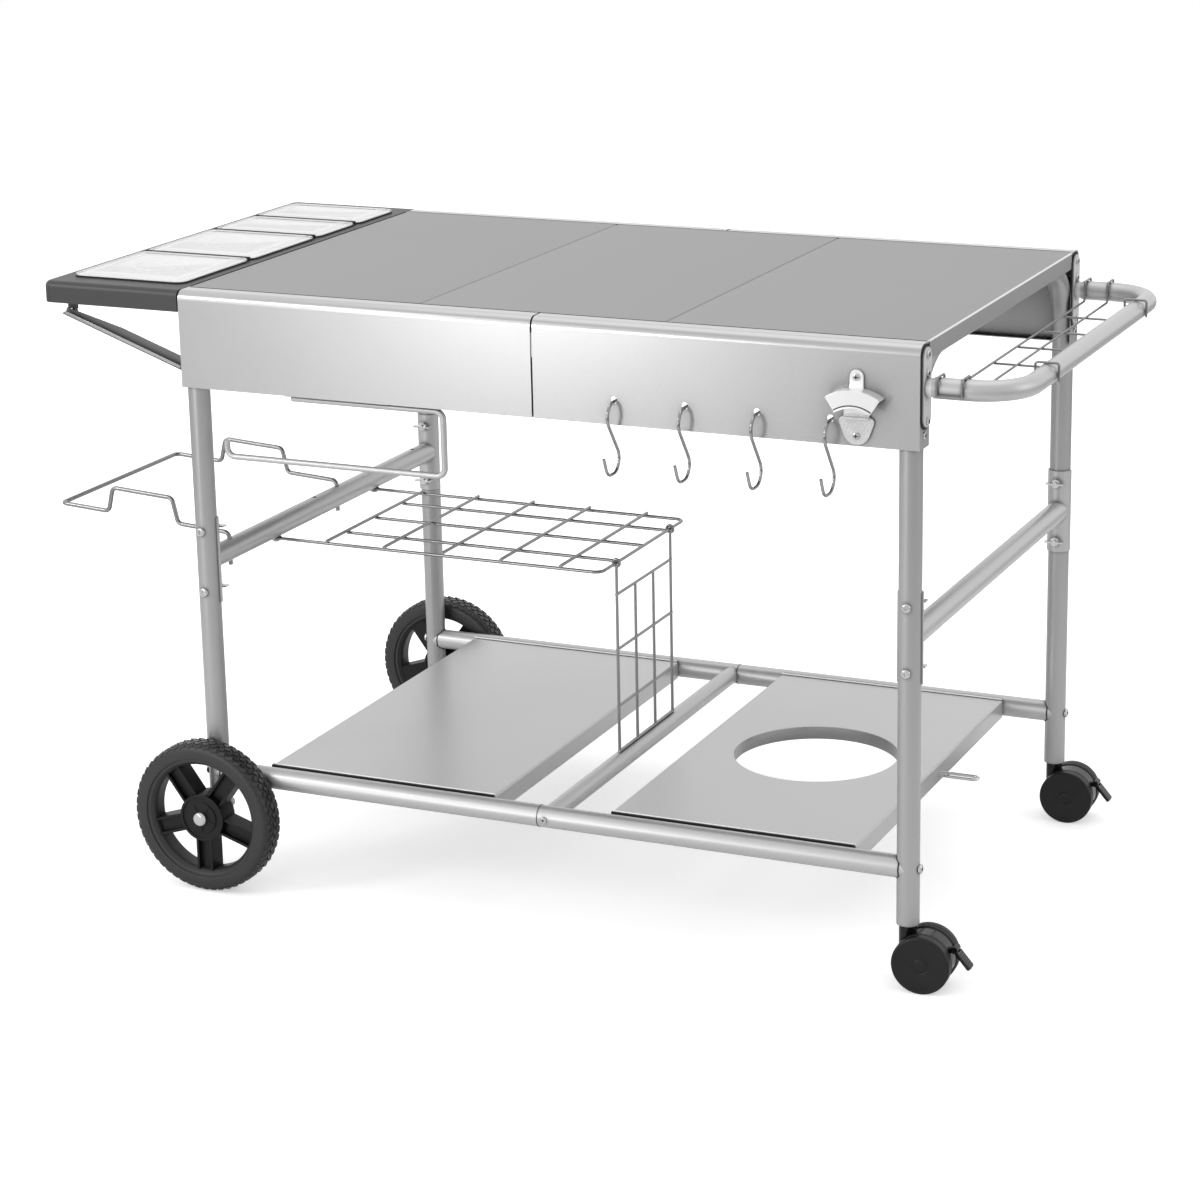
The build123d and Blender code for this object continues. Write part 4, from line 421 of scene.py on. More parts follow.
for side in ("left", "middle", "right"):
    low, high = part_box(f"top_panel_{side}")
    outside = folded_edge(low.x, high.x, low.z, high.z, fold_r)
    inside = folded_edge(low.x + sheet, high.x - sheet, low.z, high.z - sheet, fold_r - sheet)
    panel = bmesh.new()
    edges = [(y, edge) for y in (low.y, high.y) for edge in (outside, inside)]
    rows = [[panel.verts.new((x, y, z)) for x, z in edge] for y, edge in edges]
    for first, second in ((0, 1), (1, 3), (3, 2), (2, 0)):
        one, other = rows[first], rows[second]
        for here in range(len(outside) - 1):
            panel.faces.new((one[here], one[here + 1], other[here + 1], other[here]))
    for end in (0, -1):
        panel.faces.new([rows[row][end] for row in (0, 1, 3, 2)])
    piece = made_object(f"worktop_panel_{side}", panel, worktop_sheet)
    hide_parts(f"top_panel_{side}")
    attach(piece, "cart")

# Worktop end fold highlight
# A bright metal strip laid over the fold at the worktop's right end paints a highlight along it.
fold_values = {"Colour": grey(235), "Roughness": 0.3, "Grain": 0.08}
fold_highlight = finish("painted fold highlight", grain, fold_values, metallic=0.85, bump=0.04, depth=grain_depth)
fold_proud, fold_skin, fold_from, fold_span = 0.0002, 0.0004, 75, 60
low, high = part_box("top_panel_right")
centre = Vector((high.x - fold_r, 0, high.z - fold_r))
turns = [math.radians(fold_from - fold_span * step / fold_steps) for step in range(fold_steps + 1)]
aims = [Vector((math.cos(turn), 0, math.sin(turn))) for turn in turns]
arcs = [[centre + radius * aim for aim in aims] for radius in (fold_r + fold_proud, fold_r - fold_skin)]
fold = bmesh.new()
prism(fold, arcs[0] + arcs[1][::-1], Vector((0, low.y, 0)), Vector((0, high.y, 0)))
piece = made_object("worktop_fold_highlight", fold, fold_highlight)
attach(piece, "cart")

# Worktop shade bead
# A thin black bead in the joint between the panels and each apron paints the shade in that joint.
shade_line_black = finish("black painted shade line", peel, {"Colour": grey(16), "Roughness": 0.6, "Flake": 0.02}, bump=0.05)
bead_r, bead_rise, bead_sides = 0.0011, 0.0004, 10
left_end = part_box("top_panel_left")[0]
right_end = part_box("top_panel_right")[1]
for face_name, edge_y in (("front", left_end.y), ("rear", right_end.y)):
    turns = [math.tau * step / bead_sides for step in range(bead_sides)]
    centre = Vector((0, edge_y, right_end.z + bead_rise - bead_r))
    section = [centre + bead_r * Vector((0, math.cos(turn), math.sin(turn))) for turn in turns]
    bead = bmesh.new()
    prism(bead, section, Vector((left_end.x + fold_r, 0, 0)), Vector((right_end.x - fold_r, 0, 0)))
    piece = made_object(f"worktop_shade_bead_{face_name}", bead, shade_line_black, sharp=50)
    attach(piece, "cart")

# Lower shelves
# Two folded trays of satin steel on the bottom rails, the right one with the rimmed bottle hole.
shelf_values = {"Colour": grey(200), "Roughness": 0.3, "Grain": 0.03}
shelf_sheet = finish("satin shelf sheet", grain, shelf_values, metallic=0.6, bump=0.05, depth=grain_depth)
dress(shelf_sheet, "lower_shelf_left", "lower_shelf_right")

# Bottle hole collar
# The edge of the bottle hole is flanged down into a deep collar with a rolled lower lip. Its sheet is
# a darker, glossier copy of the shelf sheet, which paints shade inside the hole.
collar_values = {"Colour": grey(168), "Roughness": 0.26, "Grain": 0.06}
collar_shaded = finish("collar sheet painted darker", grain, collar_values, metallic=0.9, bump=0.04, depth=grain_depth)
hole_x = 0.30575
hole_centre = Vector((hole_x, 0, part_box("lower_shelf_right")[1].z))
collar_r, collar_t, collar_top, collar_depth, collar_lip = 0.1099, 0.0013, 0.0006, 0.0172, 0.0008


def join_loops(mesh, loops):
    """Faces between each loop of points and the next."""
    for loop, after in zip(loops, loops[1:]):
        for index in range(len(loop)):
            mesh.faces.new((loop[index - 1], loop[index], after[index], after[index - 1]))


def lathe(mesh, outline, place, steps):
    """Turns a closed outline of radius and height about the Z axis of a place."""
    rings = []
    for step in range(steps):
        turn = math.tau * step / steps
        aim = Vector((math.cos(turn), math.sin(turn), 0))
        points = [aim * radius + Vector((0, 0, height)) for radius, height in outline]
        rings.append([mesh.verts.new(place @ point) for point in points])
    join_loops(mesh, rings + rings[:1])


inner_r, outer_r, lip_r = collar_r, collar_r + collar_t, collar_r + collar_lip / 2
collar_outline = (
    (inner_r, -collar_top), (inner_r, -collar_depth), (lip_r, -collar_depth - collar_lip),
    (outer_r, -collar_depth), (outer_r, -collar_depth / 2), (lip_r, -collar_top),
)
collar = bmesh.new()
lathe(collar, collar_outline, Matrix.Translation(hole_centre), steps=96)
piece = made_object("bottle_hole_collar", collar, collar_shaded, sharp=40)
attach(piece, "cart")

# Shelf shade gaskets
# Black strips between the shelves and the rails that carry them paint the shade in that gap, each
# under a near-white hem that paints a highlight along the shelf's edge.
gasket_t, gasket_rise, gasket_h, gasket_end, gasket_gap = 0.0042, 0.0014, 0.010, 0.002, 0.0001
hem_r, hem_in, hem_out, hem_sides = 0.0012, 0.0008, 0.001, 8
hem_values = {"Colour": grey(252), "Roughness": 0.35, "Grain": 0.05}
hem_highlight = finish("painted hem highlight", grain, hem_values, metallic=0.1, bump=0.04)
for side in ("left", "right"):
    low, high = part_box(f"lower_shelf_{side}")
    gasket = bmesh.new()
    hem_bar = bmesh.new()
    top = high.z + gasket_rise
    foot = top - gasket_h
    for edge_y, way in ((low.y, -1), (high.y, 1)):
        near, far = edge_y + way * gasket_gap, edge_y + way * gasket_t
        section = [Vector((0, y, z)) for y, z in ((near, foot), (far, foot), (far, top), (near, top))]
        prism(gasket, section, Vector((low.x + gasket_end, 0, 0)), Vector((high.x - gasket_end, 0, 0)))
        turns = [math.tau * step / hem_sides for step in range(hem_sides)]
        centre = Vector((0, edge_y - way * hem_in, top))
        section = [centre + hem_r * Vector((0, math.cos(turn), math.sin(turn))) for turn in turns]
        prism(hem_bar, section, Vector((low.x + hem_out, 0, 0)), Vector((high.x - hem_out, 0, 0)))
    piece = made_object(f"shelf_shade_gasket_{side}", gasket, shade_line_black)
    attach(piece, "cart")
    piece = made_object(f"shelf_hem_highlight_{side}", hem_bar, hem_highlight, sharp=50)
    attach(piece, "cart")

# Rail end rings
# A black ring in the gap where each bottom rail butts against its leg, and a thinner one in the
# joint between the two halves of a rail, paint the shade in those joints.
ring_r, ring_steps, ring_sides, ring_reach, seam_r = 0.0009, 48, 8, 0.0085, 0.0005
rings = bmesh.new()


def black_ring(spots, outwards, radius):
    """A closed cord through spots on a rail, each with its outward direction."""
    loops = []
    corners = [math.tau * corner / ring_sides for corner in range(ring_sides)]
    for spot, outward in zip(spots, outwards):
        around = [outward * math.cos(corner) + Vector((math.sin(corner), 0, 0)) for corner in corners]
        loops.append([rings.verts.new(spot + radius * aim) for aim in around])
    join_loops(rings, loops + loops[:1])


turns = [math.tau * step / ring_steps for step in range(ring_steps)]
outwards = [Vector((0, math.cos(turn), math.sin(turn))) for turn in turns]
for depth_name in ("front", "rear"):
    for side, way in (("left", -1), ("right", 1)):
        low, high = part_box(f"lower_leg_{depth_name}_{side}")
        leg_x = (low.x + high.x) / 2
        low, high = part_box(f"{depth_name}_rail_{side}")
        rail_r = (high.z - low.z) / 2
        centre = (low + high) / 2
        reaches = [max(rail_r * abs(outward.z), ring_reach) for outward in outwards]
        spots = [Vector((leg_x - way * reach, centre.y, centre.z)) for reach in reaches]
        black_ring([spot + outward * rail_r for spot, outward in zip(spots, outwards)], outwards, ring_r)
    socket_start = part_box("front_rail_right")[0] if depth_name == "front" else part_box("rear_rail_left")[1]
    seam = Vector((socket_start.x, centre.y, centre.z))
    black_ring([seam + outward * rail_r for outward in outwards], outwards, seam_r)
piece = made_object("rail_end_shade_rings", rings, shade_line_black, sharp=50)
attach(piece, "cart")

# Push handle
# A bent tube on two bracket plates. The tube wears the rails' lighter grey and the plates a lighter
# grey still, each painting light on them.
dress(lit_rail_coat, "push_handle")
bracket_values = {"Colour": grey(228), "Roughness": 0.4, "Corner shade": 1.2}
lit_bracket_coat = finish("bracket coat painted light", peel, bracket_values, metallic=0.3)
dress(lit_bracket_coat, "handle_brackets")

# Bracket shade pads
# A black pad under each bracket plate, a little larger than the plate all round, paints a line of
# shade round it.
pad_outset, pad_t, pad_gap, bracket_w, arc_steps = 0.0034, 0.0011, 0.0001, 0.028, 10
pad_r = bracket_w / 2 + pad_outset
low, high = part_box("handle_brackets")
pads = bmesh.new()
for middle_y in (low.y + bracket_w / 2, high.y - bracket_w / 2):
    outline = []
    for centre_z, start in ((high.z - bracket_w / 2, 0), (low.z + bracket_w / 2, 180)):
        for step in range(arc_steps + 1):
            turn = math.radians(start + 180 * step / arc_steps)
            y, z = middle_y + pad_r * math.cos(turn), centre_z + pad_r * math.sin(turn)
            outline.append(Vector((low.x, y, z)))
    prism(pads, outline, Vector((pad_gap, 0, 0)), Vector((pad_t, 0, 0)))
piece = made_object("bracket_shade_pads", pads, shade_line_black)
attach(piece, "cart")

# Side shelf
# A drop-leaf tray in dark grey paint on two hinges, held up by two folded struts.
dark_values = {"Colour": grey(60), "Roughness": 0.42, "Flake": 0.03}
dark_coat = finish("dark grey paint", peel, dark_values, bump=0.1)
dress(dark_coat, "side_shelf")
strut_values = {"Colour": grey(112), "Roughness": 0.45, "Flake": 0.03}
strut_coat = finish("grey strut paint", peel, strut_values, bump=0.1)
dress(strut_coat, "strut_front", "strut_rear")
dress(silver_coat, "side_shelf_hinges")
strut_slope = math.radians(19.5)
strut_along = Vector((-math.cos(strut_slope), 0, math.sin(strut_slope)))
strut_across = Vector((math.sin(strut_slope), 0, math.cos(strut_slope)))
strut_pivot_x, strut_pivot_z, strut_half_w, strut_edge_y = -0.45125, 0.7025, 0.007, 0.309
hem_h, hem_t, hem_start, hem_end = 0.0056, 0.0012, 0.004, 0.187


def ease_edges(piece, width, segments, angle=30):
    """Rounds the edges of a piece that are sharper than an angle in degrees."""
    ease = piece.modifiers.new("eased edges", "BEVEL")
    ease.width, ease.segments = width, segments
    ease.limit_method, ease.angle_limit = "ANGLE", math.radians(angle)


for place_name, out_y in (("front", -1), ("rear", 1)):
    foot = Vector((strut_pivot_x, out_y * strut_edge_y, strut_pivot_z)) - strut_across * strut_half_w
    inward = Vector((0, -out_y * hem_t, 0))
    corners = [foot, foot + inward, foot + inward + strut_across * hem_h, foot + strut_across * hem_h]
    hem = bmesh.new()
    prism(hem, corners, strut_along * hem_start, strut_along * hem_end)
    piece = made_object(f"strut_hem_{place_name}", hem, apron_coat)
    ease_edges(piece, width=0.0005, segments=2)
    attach(piece, f"strut_{place_name}")

# Condiment trays and lids
# White thermoformed trays in the side shelf, each with a black seal under a clear lid that paints the
# shade line under its edge. The lids have a pressed rim, the two large ones a ring as well, and black
# ribs stand between them to paint the shade in the gaps between the lids.
moulded, ends, out = shader_group(
    "moulded plastic",
    (
        ("Colour", COLOUR, (0.8, 0.8, 0.8, 1)),
        ("Spark", FLOAT, 900.0),
        ("Cloud", FLOAT, 0.04),
        ("Roughness", FLOAT, 0.4),
    ),
    surface_outputs,
)
place = put(moulded, "ShaderNodeTexCoord").outputs["Object"]
spark = noise(moulded, place, ends.outputs["Spark"], 2.0, 0.6)
cloud = noise(moulded, place, 22.0, 3.0)
cloud_shift = shifted(moulded, cloud, ends.outputs["Cloud"])
shade = maths(moulded, "ADD", cloud_shift, 1.0)
moulded.links.new(scaled(moulded, ends.outputs["Colour"], shade), out.inputs["Colour"])
rough = maths(moulded, "ADD", ends.outputs["Roughness"], cloud_shift)
moulded.links.new(rough, out.inputs["Roughness"])
moulded.links.new(spark, out.inputs["Height"])
tray_values = {"Colour": grey(247), "Roughness": 0.3, "Spark": 300.0}
tray_white = finish("white tray plastic", moulded, tray_values, bump=0.03)
lid_values = {"Colour": grey(254), "Roughness": 0.08, "Spark": 30.0}
lid_clear = finish("clear lid plastic", moulded, lid_values, bump=0.02, depth=0.002)
veil_facing, veil_edge = 0.15, 0.75
tree = lid_clear.node_tree
edge = put(tree, "ShaderNodeLayerWeight", Blend=0.35)
veil = ranged(tree, edge.outputs["Facing"], 0.0, 1.0, veil_facing, veil_edge)
tree.links.new(veil, tree.nodes["Principled BSDF"].inputs["Alpha"])
tray_count, large_trays = 4, 2
lid_corner, least_corner, corner_steps = 0.014, 0.003, 8
lid_rise = 0.0041
lid_ease, lid_dip = 0.0004, 0.0012
rim_w, rim_h, rim_ease = 0.0046, 0.0026, 0.0006
gutter_end = rim_w + 0.0020
slope_end = gutter_end + 0.0024
crown_start = slope_end + 0.0010
crown_end = crown_start + 0.0085
dip_end = crown_end + 0.0015
gutter_h = rim_h - rim_ease
lid_steps = (
    (lid_ease, 0.0), (0.0, lid_ease), (0.0, gutter_h), (rim_ease, rim_h), (rim_w - rim_ease, rim_h),
    (rim_w, gutter_h), (gutter_end, gutter_h), (slope_end, lid_rise - lid_ease), (crown_start, lid_rise),
    (crown_end, lid_rise), (dip_end, lid_rise - lid_dip),
)
emboss_r, emboss_half, emboss_rise = 0.037, 0.0012, 0.0008


def rounded_loop(mesh, low, high, inset, z):
    """Points round a rectangle with rounded corners, drawn in from its edge."""
    middle, half = (low + high) / 2, (high - low) / 2
    corner = max(lid_corner - inset, least_corner)
    loop = []
    for way_x, way_y, start in ((1, 1, 0), (-1, 1, 90), (-1, -1, 180), (1, -1, 270)):
        for step in range(corner_steps + 1):
            turn = math.radians(start + 90 * step / corner_steps)
            x = middle.x + way_x * (half.x - inset - corner) + corner * math.cos(turn)
            y = middle.y + way_y * (half.y - inset - corner) + corner * math.sin(turn)
            loop.append(mesh.verts.new((x, y, z)))
    return loop


seal_shade_black = finish("black painted tray shade", moulded, {"Colour": grey(22), "Roughness": 0.5}, bump=0.04)
seal_in, seal_out, seal_foot, seal_top = 0.0012, 0.0007, 0.0014, 0.0004
seal_steps = ((seal_in, -seal_foot), (-seal_out, -seal_foot), (-seal_out, seal_top), (seal_in, seal_top))
rib_half, rib_rise, rib_end, rib_foot = 0.0014, 0.0034, 0.003, 0.0016
for number in range(1, tray_count):
    low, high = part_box(f"tray_lid_{number}")
    gap_y = (high.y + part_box(f"tray_lid_{number + 1}")[0].y) / 2
    foot, head = low.z - rib_foot, low.z + rib_rise
    profile = ((-rib_half, foot), (rib_half, foot), (rib_half, head), (-rib_half, head))
    rib = bmesh.new()
    section = [Vector((0, gap_y + across, z)) for across, z in profile]
    prism(rib, section, Vector((low.x + rib_end, 0, 0)), Vector((high.x - rib_end, 0, 0)))
    piece = made_object(f"tray_shade_divider_{number}", rib, seal_shade_black)
    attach(piece, "side_shelf")
for number in range(1, tray_count + 1):
    dress(tray_white, f"tray_{number}")
    low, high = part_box(f"tray_lid_{number}")
    seal = bmesh.new()
    loops = [rounded_loop(seal, low, high, inset, low.z + rise) for inset, rise in seal_steps]
    join_loops(seal, loops + loops[:1])
    piece = made_object(f"tray_shade_seal_{number}", seal, seal_shade_black, sharp=40)
    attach(piece, f"tray_{number}")
    lid = bmesh.new()
    loops = [rounded_loop(lid, low, high, inset, low.z + rise) for inset, rise in lid_steps]
    join_loops(lid, loops)
    lid.faces.new(loops[0])
    lid.faces.new(loops[-1])
    if number <= large_trays:
        middle = (low + high) / 2
        top = low.z + lid_steps[-1][1]
        emboss = (
            (emboss_r - emboss_half, -emboss_rise), (emboss_r - emboss_half / 2, emboss_rise),
            (emboss_r + emboss_half / 2, emboss_rise), (emboss_r + emboss_half, -emboss_rise),
        )
        lathe(lid, emboss, Matrix.Translation((middle.x, middle.y, top)), steps=64)
    piece = made_object(f"lid_{number}", lid, lid_clear, sharp=30)
    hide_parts(f"tray_lid_{number}")
    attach(piece, f"tray_lid_{number}")

# Wire goods
# Welded wire in bright zinc: the shelf under the worktop, its hanging grid, the bag holder and the
# rack on the handle.
plated, ends, out = shader_group(
    "bright plating",
    (
        ("Colour", COLOUR, (0.5, 0.5, 0.5, 1)),
        ("Mottle", FLOAT, 0.1),
        ("Size", FLOAT, 160.0),
        ("Roughness", FLOAT, 0.25),
    ),
    surface_outputs,
)
place = put(plated, "ShaderNodeTexCoord").outputs["Object"]
mottle = noise(plated, place, ends.outputs["Size"], 3.0, 0.6)
shift = shifted(plated, mottle, ends.outputs["Mottle"])
shade = maths(plated, "ADD", shift, 1.0)
plated.links.new(scaled(plated, ends.outputs["Colour"], shade), out.inputs["Colour"])
plated.links.new(maths(plated, "ADD", ends.outputs["Roughness"], shift), out.inputs["Roughness"])
plated.links.new(mottle, out.inputs["Height"])
wire_values = {"Colour": grey(150), "Roughness": 0.3}
wire_zinc = finish("zinc plated wire", plated, wire_values, metallic=1.0, bump=0.03)
dress(wire_zinc, "wire_shelf", "hanging_grid", "bag_holder", "handle_rack")

# Towel rod
# Bent round bar, coated with the frame in the rails' lighter grey, which paints light on it, and
# screwed up under the front apron.
dress(lit_rail_coat, "towel_rod")

# S-hooks
# Chromed wire bent by hand, hung in four holes of the front apron.
chrome_values = {"Colour": grey(165), "Roughness": 0.1, "Mottle": 0.03}
chrome = finish("chrome", plated, chrome_values, metallic=1.0, bump=0.01)
dress(chrome, "s_hook_1", "s_hook_2", "s_hook_3", "s_hook_4")

# Bottle opener
# A nickelled zinc casting on two screws: a smooth hood over a pebbled shield, and along the hood's
# lower edge a rolled lip with a dark cord above it that paints the shadow line over the lip.
casting, ends, out = shader_group(
    "pebbled casting",
    (
        ("Hood", COLOUR, (0.8, 0.8, 0.8, 1)),
        ("Shield", COLOUR, (0.5, 0.5, 0.5, 1)),
        ("Split", FLOAT, 0.72),
        ("Pebble", FLOAT, 900.0),
        ("Roughness", FLOAT, 0.3),
    ),
    surface_outputs,
)
place = put(casting, "ShaderNodeTexCoord").outputs["Object"]
height = put(casting, "ShaderNodeSeparateXYZ", Vector=place).outputs[2]
below = maths(casting, "LESS_THAN", height, ends.outputs["Split"])
pebble = put(casting, "ShaderNodeTexVoronoi", Vector=place, Scale=ends.outputs["Pebble"]).outputs["Distance"]
speck = ranged(casting, pebble, 0.1, 0.75, 1.12, 0.8)
shield = scaled(casting, ends.outputs["Shield"], speck)
casting.links.new(mixed(casting, below, ends.outputs["Hood"], shield), out.inputs["Colour"])
bumps = maths(casting, "MULTIPLY", maths(casting, "SUBTRACT", 1.0, pebble), below)
casting.links.new(bumps, out.inputs["Height"])
rough = maths(casting, "ADD", ends.outputs["Roughness"], maths(casting, "MULTIPLY", below, 0.12))
casting.links.new(rough, out.inputs["Roughness"])
cast_nickel = finish(
    "cast nickel",
    casting,
    {"Hood": grey(253), "Shield": grey(212), "Split": 0.7205, "Roughness": 0.22},
    metallic=0.55,
    bump=0.4,
)


def eased(node, name, material, width, body=None):
    """A copy of a CAD node with its sharp edges rounded, in the node's place."""
    mesh = bmesh.new()
    mesh.from_mesh(frame["nodes"][node].data)
    bmesh.ops.remove_doubles(mesh, verts=mesh.verts, dist=1e-5)
    flat = math.radians(0.4)
    bmesh.ops.dissolve_limit(mesh, angle_limit=flat, verts=mesh.verts, edges=mesh.edges)
    made = made_object(name, mesh, material, sharp=40)
    ease_edges(made, width, segments=3, angle=40)
    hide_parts(node)
    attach(made, body or node)
    return made


eased("bottle_opener", "opener_casting", cast_nickel, 0.0009, "cart")
low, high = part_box("bottle_opener")
lip_wire_r, groove_wire_r, lip_sides, lip_steps = 0.0014, 0.0007, 10, 18
hood_arc_r, hood_half_angle, groove_arc_r = 0.041, math.radians(32.5), 0.0433
hood_centre_z = 0.6895
hood_centre = Vector(((low.x + high.x) / 2, low.y, hood_centre_z))


def arc_bar(arc_r, wire_r):
    """A round bar bent to an arc about the hood's centre, over the hood's half angle either way."""
    mesh = bmesh.new()
    rings = []
    corners = [math.tau * corner / lip_sides for corner in range(lip_sides)]
    for step in range(lip_steps + 1):
        turn = hood_half_angle * (2 * step / lip_steps - 1)
        aim = Vector((math.sin(turn), 0, math.cos(turn)))
        around = [aim * math.cos(corner) + Vector((0, math.sin(corner), 0)) for corner in corners]
        rings.append([mesh.verts.new(hood_centre + aim * arc_r + wire_r * way) for way in around])
    join_loops(mesh, rings)
    mesh.faces.new(rings[0])
    mesh.faces.new(rings[-1])
    return mesh


piece = made_object("opener_lip", arc_bar(hood_arc_r, lip_wire_r), cast_nickel, sharp=50)
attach(piece, "cart")
groove_values = {"Colour": grey(70), "Roughness": 0.5}
groove_shade = finish("painted groove shadow", plated, groove_values, metallic=0.4, bump=0.02)
piece = made_object("opener_groove_shadow", arc_bar(groove_arc_r, groove_wire_r), groove_shade, sharp=50)
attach(piece, "cart")

# Large wheels
# One-piece black mouldings that turn on their axles: a tyre band with a block tread, a stepped rim,
# five channelled spokes and a hub with a ringed boss.
tyre_values = {"Colour": grey(40), "Roughness": 0.45, "Spark": 1100.0}
tyre_black = finish("tyre moulding", moulded, tyre_values, bump=0.12)
wheel_values = {"Colour": grey(7), "Roughness": 0.42}
wheel_black = finish("wheel moulding", moulded, wheel_values, bump=0.08, Specular_IOR_Level=0.32)
block_values = {"Colour": grey(42), "Roughness": 0.26, "Spark": 1100.0}
tread_black = finish("tread moulding", moulded, block_values, bump=0.06)


def rounded(corners, steps=4):
    """A closed outline with each corner, given as two places and a radius, cut to a curve."""
    outline = []
    for index, (x, y, radius) in enumerate(corners):
        here = Vector((x, y))
        if not radius:
            outline.append(here)
            continue
        before = Vector(corners[index - 1][:2])
        after = Vector(corners[(index + 1) % len(corners)][:2])
        start = here + (before - here).normalized() * radius
        end = here + (after - here).normalized() * radius
        for step in range(steps + 1):
            share = step / steps
            outline.append(start.lerp(here, share).lerp(here.lerp(end, share), share))
    return outline


VECTOR, WHOLE, MATERIAL = "NodeSocketVector", "NodeSocketInt", "NodeSocketMaterial"


def growing_tree(name, inputs):
    """A geometry tree with named inputs: the tree, its inputs and its output."""
    made = bpy.data.node_groups.new(name, "GeometryNodeTree")
    made.interface.new_socket(name="Geometry", in_out="OUTPUT", socket_type="NodeSocketGeometry")
    for label, kind in inputs:
        made.interface.new_socket(name=label, in_out="INPUT", socket_type=kind)
    return made, made.nodes.new("NodeGroupInput").outputs, made.nodes.new("NodeGroupOutput").inputs[0]


def grown(name, tree, values, place, spots=()):
    """The plain mesh that a geometry tree makes with these values, as an object in its place."""
    seed = bpy.data.objects.new(f"{name}_seed", bpy.data.meshes.new(f"{name}_seed"))
    seed.data.from_pydata(spots, (), ())
    scene.collection.objects.link(seed)
    growth = seed.modifiers.new("growth", "NODES")
    growth.node_group = tree
    for socket in tree.interface.items_tree:
        if socket.in_out == "INPUT" and socket.name in values:
            growth[socket.identifier] = values[socket.name]
    ready = seed.evaluated_get(bpy.context.evaluated_depsgraph_get())
    data = bpy.data.meshes.new_from_object(ready)
    seed.modifiers.clear()
    bpy.data.objects.remove(seed)
    data.transform(place)
    made = bpy.data.objects.new(name, data)
    scene.collection.objects.link(made)
    return made


tread, given, result = growing_tree(
    "block tread",
    (
        ("Rows", WHOLE), ("Blocks in a row", WHOLE), ("Radius", FLOAT), ("Width", FLOAT),
        ("Shoulder drop", FLOAT), ("Shoulder tilt", FLOAT), ("Slant", FLOAT), ("Block", VECTOR),
        ("Rubber", MATERIAL),
    ),
)
count = maths(tread, "MULTIPLY", given["Rows"], given["Blocks in a row"])
index = put(tread, "GeometryNodeInputIndex").outputs[0]
row = maths(tread, "FLOOR", maths(tread, "DIVIDE", index, given["Blocks in a row"]))
odd = maths(tread, "MODULO", row, 2.0)
number = maths(tread, "ADD", index, maths(tread, "MULTIPLY", odd, 0.5))
turn = maths(tread, "MULTIPLY", maths(tread, "DIVIDE", number, given["Blocks in a row"]), math.tau)
across = maths(tread, "DIVIDE", row, maths(tread, "SUBTRACT", given["Rows"], 1.0))
across = maths(tread, "SUBTRACT", maths(tread, "MULTIPLY", across, 2.0), 1.0)
lean = maths(tread, "POWER", maths(tread, "ABSOLUTE", across), 3.0)
lean = maths(tread, "MULTIPLY", lean, maths(tread, "SIGN", across))
drop = maths(tread, "MULTIPLY", maths(tread, "ABSOLUTE", lean), given["Shoulder drop"])
reach = maths(tread, "SUBTRACT", given["Radius"], drop)
spot = put(
    tread,
    "ShaderNodeCombineXYZ",
    X=maths(tread, "MULTIPLY", reach, maths(tread, "COSINE", turn)),
    Y=maths(tread, "MULTIPLY", reach, maths(tread, "SINE", turn)),
    Z=maths(tread, "MULTIPLY", across, maths(tread, "MULTIPLY", given["Width"], 0.5)),
).outputs[0]
spots = put(tread, "GeometryNodePoints", Count=count, Position=spot).outputs[0]
about = put(tread, "FunctionNodeAxisAngleToRotation", Axis=(0, 0, 1), Angle=turn).outputs[0]
tilt = maths(tread, "MULTIPLY", maths(tread, "MULTIPLY", lean, given["Shoulder tilt"]), -1.0)
tilt = put(tread, "ShaderNodeCombineXYZ", Y=tilt).outputs[0]
way = maths(tread, "SUBTRACT", 1.0, maths(tread, "MULTIPLY", odd, 2.0))
slant = put(tread, "ShaderNodeCombineXYZ", X=maths(tread, "MULTIPLY", way, given["Slant"])).outputs[0]
local = {"rotation_space": "LOCAL"}
about = put(tread, "FunctionNodeRotateRotation", local, Rotation=about, Rotate_By=tilt).outputs[0]
about = put(tread, "FunctionNodeRotateRotation", local, Rotation=about, Rotate_By=slant).outputs[0]
block = put(tread, "GeometryNodeMeshCube", Size=given["Block"]).outputs[0]
normal = put(tread, "GeometryNodeInputNormal").outputs[0]
outward = put(tread, "ShaderNodeSeparateXYZ", Vector=normal).outputs[0]
top = maths(tread, "GREATER_THAN", outward, 0.5)
block = put(tread, "GeometryNodeScaleElements", Geometry=block, Selection=top, Scale=0.78).outputs[0]
blocks = put(tread, "GeometryNodeInstanceOnPoints", Points=spots, Instance=block, Rotation=about).outputs[0]
blocks = put(tread, "GeometryNodeRealizeInstances", Geometry=blocks).outputs[0]
blocks = put(tread, "GeometryNodeSetMaterial", Geometry=blocks, Material=given["Rubber"]).outputs[0]
tread.links.new(blocks, result)

tread_h, tread_sink = 0.0017, 0.0003
wall_r, lip_r, rim_r = 0.0825, 0.0785, 0.073
wall_step, rim_step = 0.0024, 0.0085
crown_round, wall_round, step_round, lip_round, rim_round = 0.009, 0.0016, 0.0006, 0.001, 0.003
hub_r, boss_r, groove_r, bore_r = 0.0325, 0.0215, 0.0285, 0.0051
hub_inset, groove_depth = 0.003, 0.002
bore_round, boss_round, groove_round, hub_round = 0.0004, 0.0006, 0.0005, 0.0012
spoke_w, spoke_inset, spoke_floor, spoke_rib = 0.024, 0.006, 0.007, 0.0035
spoke_count, spoke_bite = 5, 0.002
key_start, key_gap, key_half, key_h = 0.0115, 0.001, 0.0009, 0.001


def both_sides(corners):
    """Corners on one side of a wheel and, in reverse order, their mirror images on the other."""
    return [*corners, *((radius, -height, cut) for radius, height, cut in reversed(corners))]


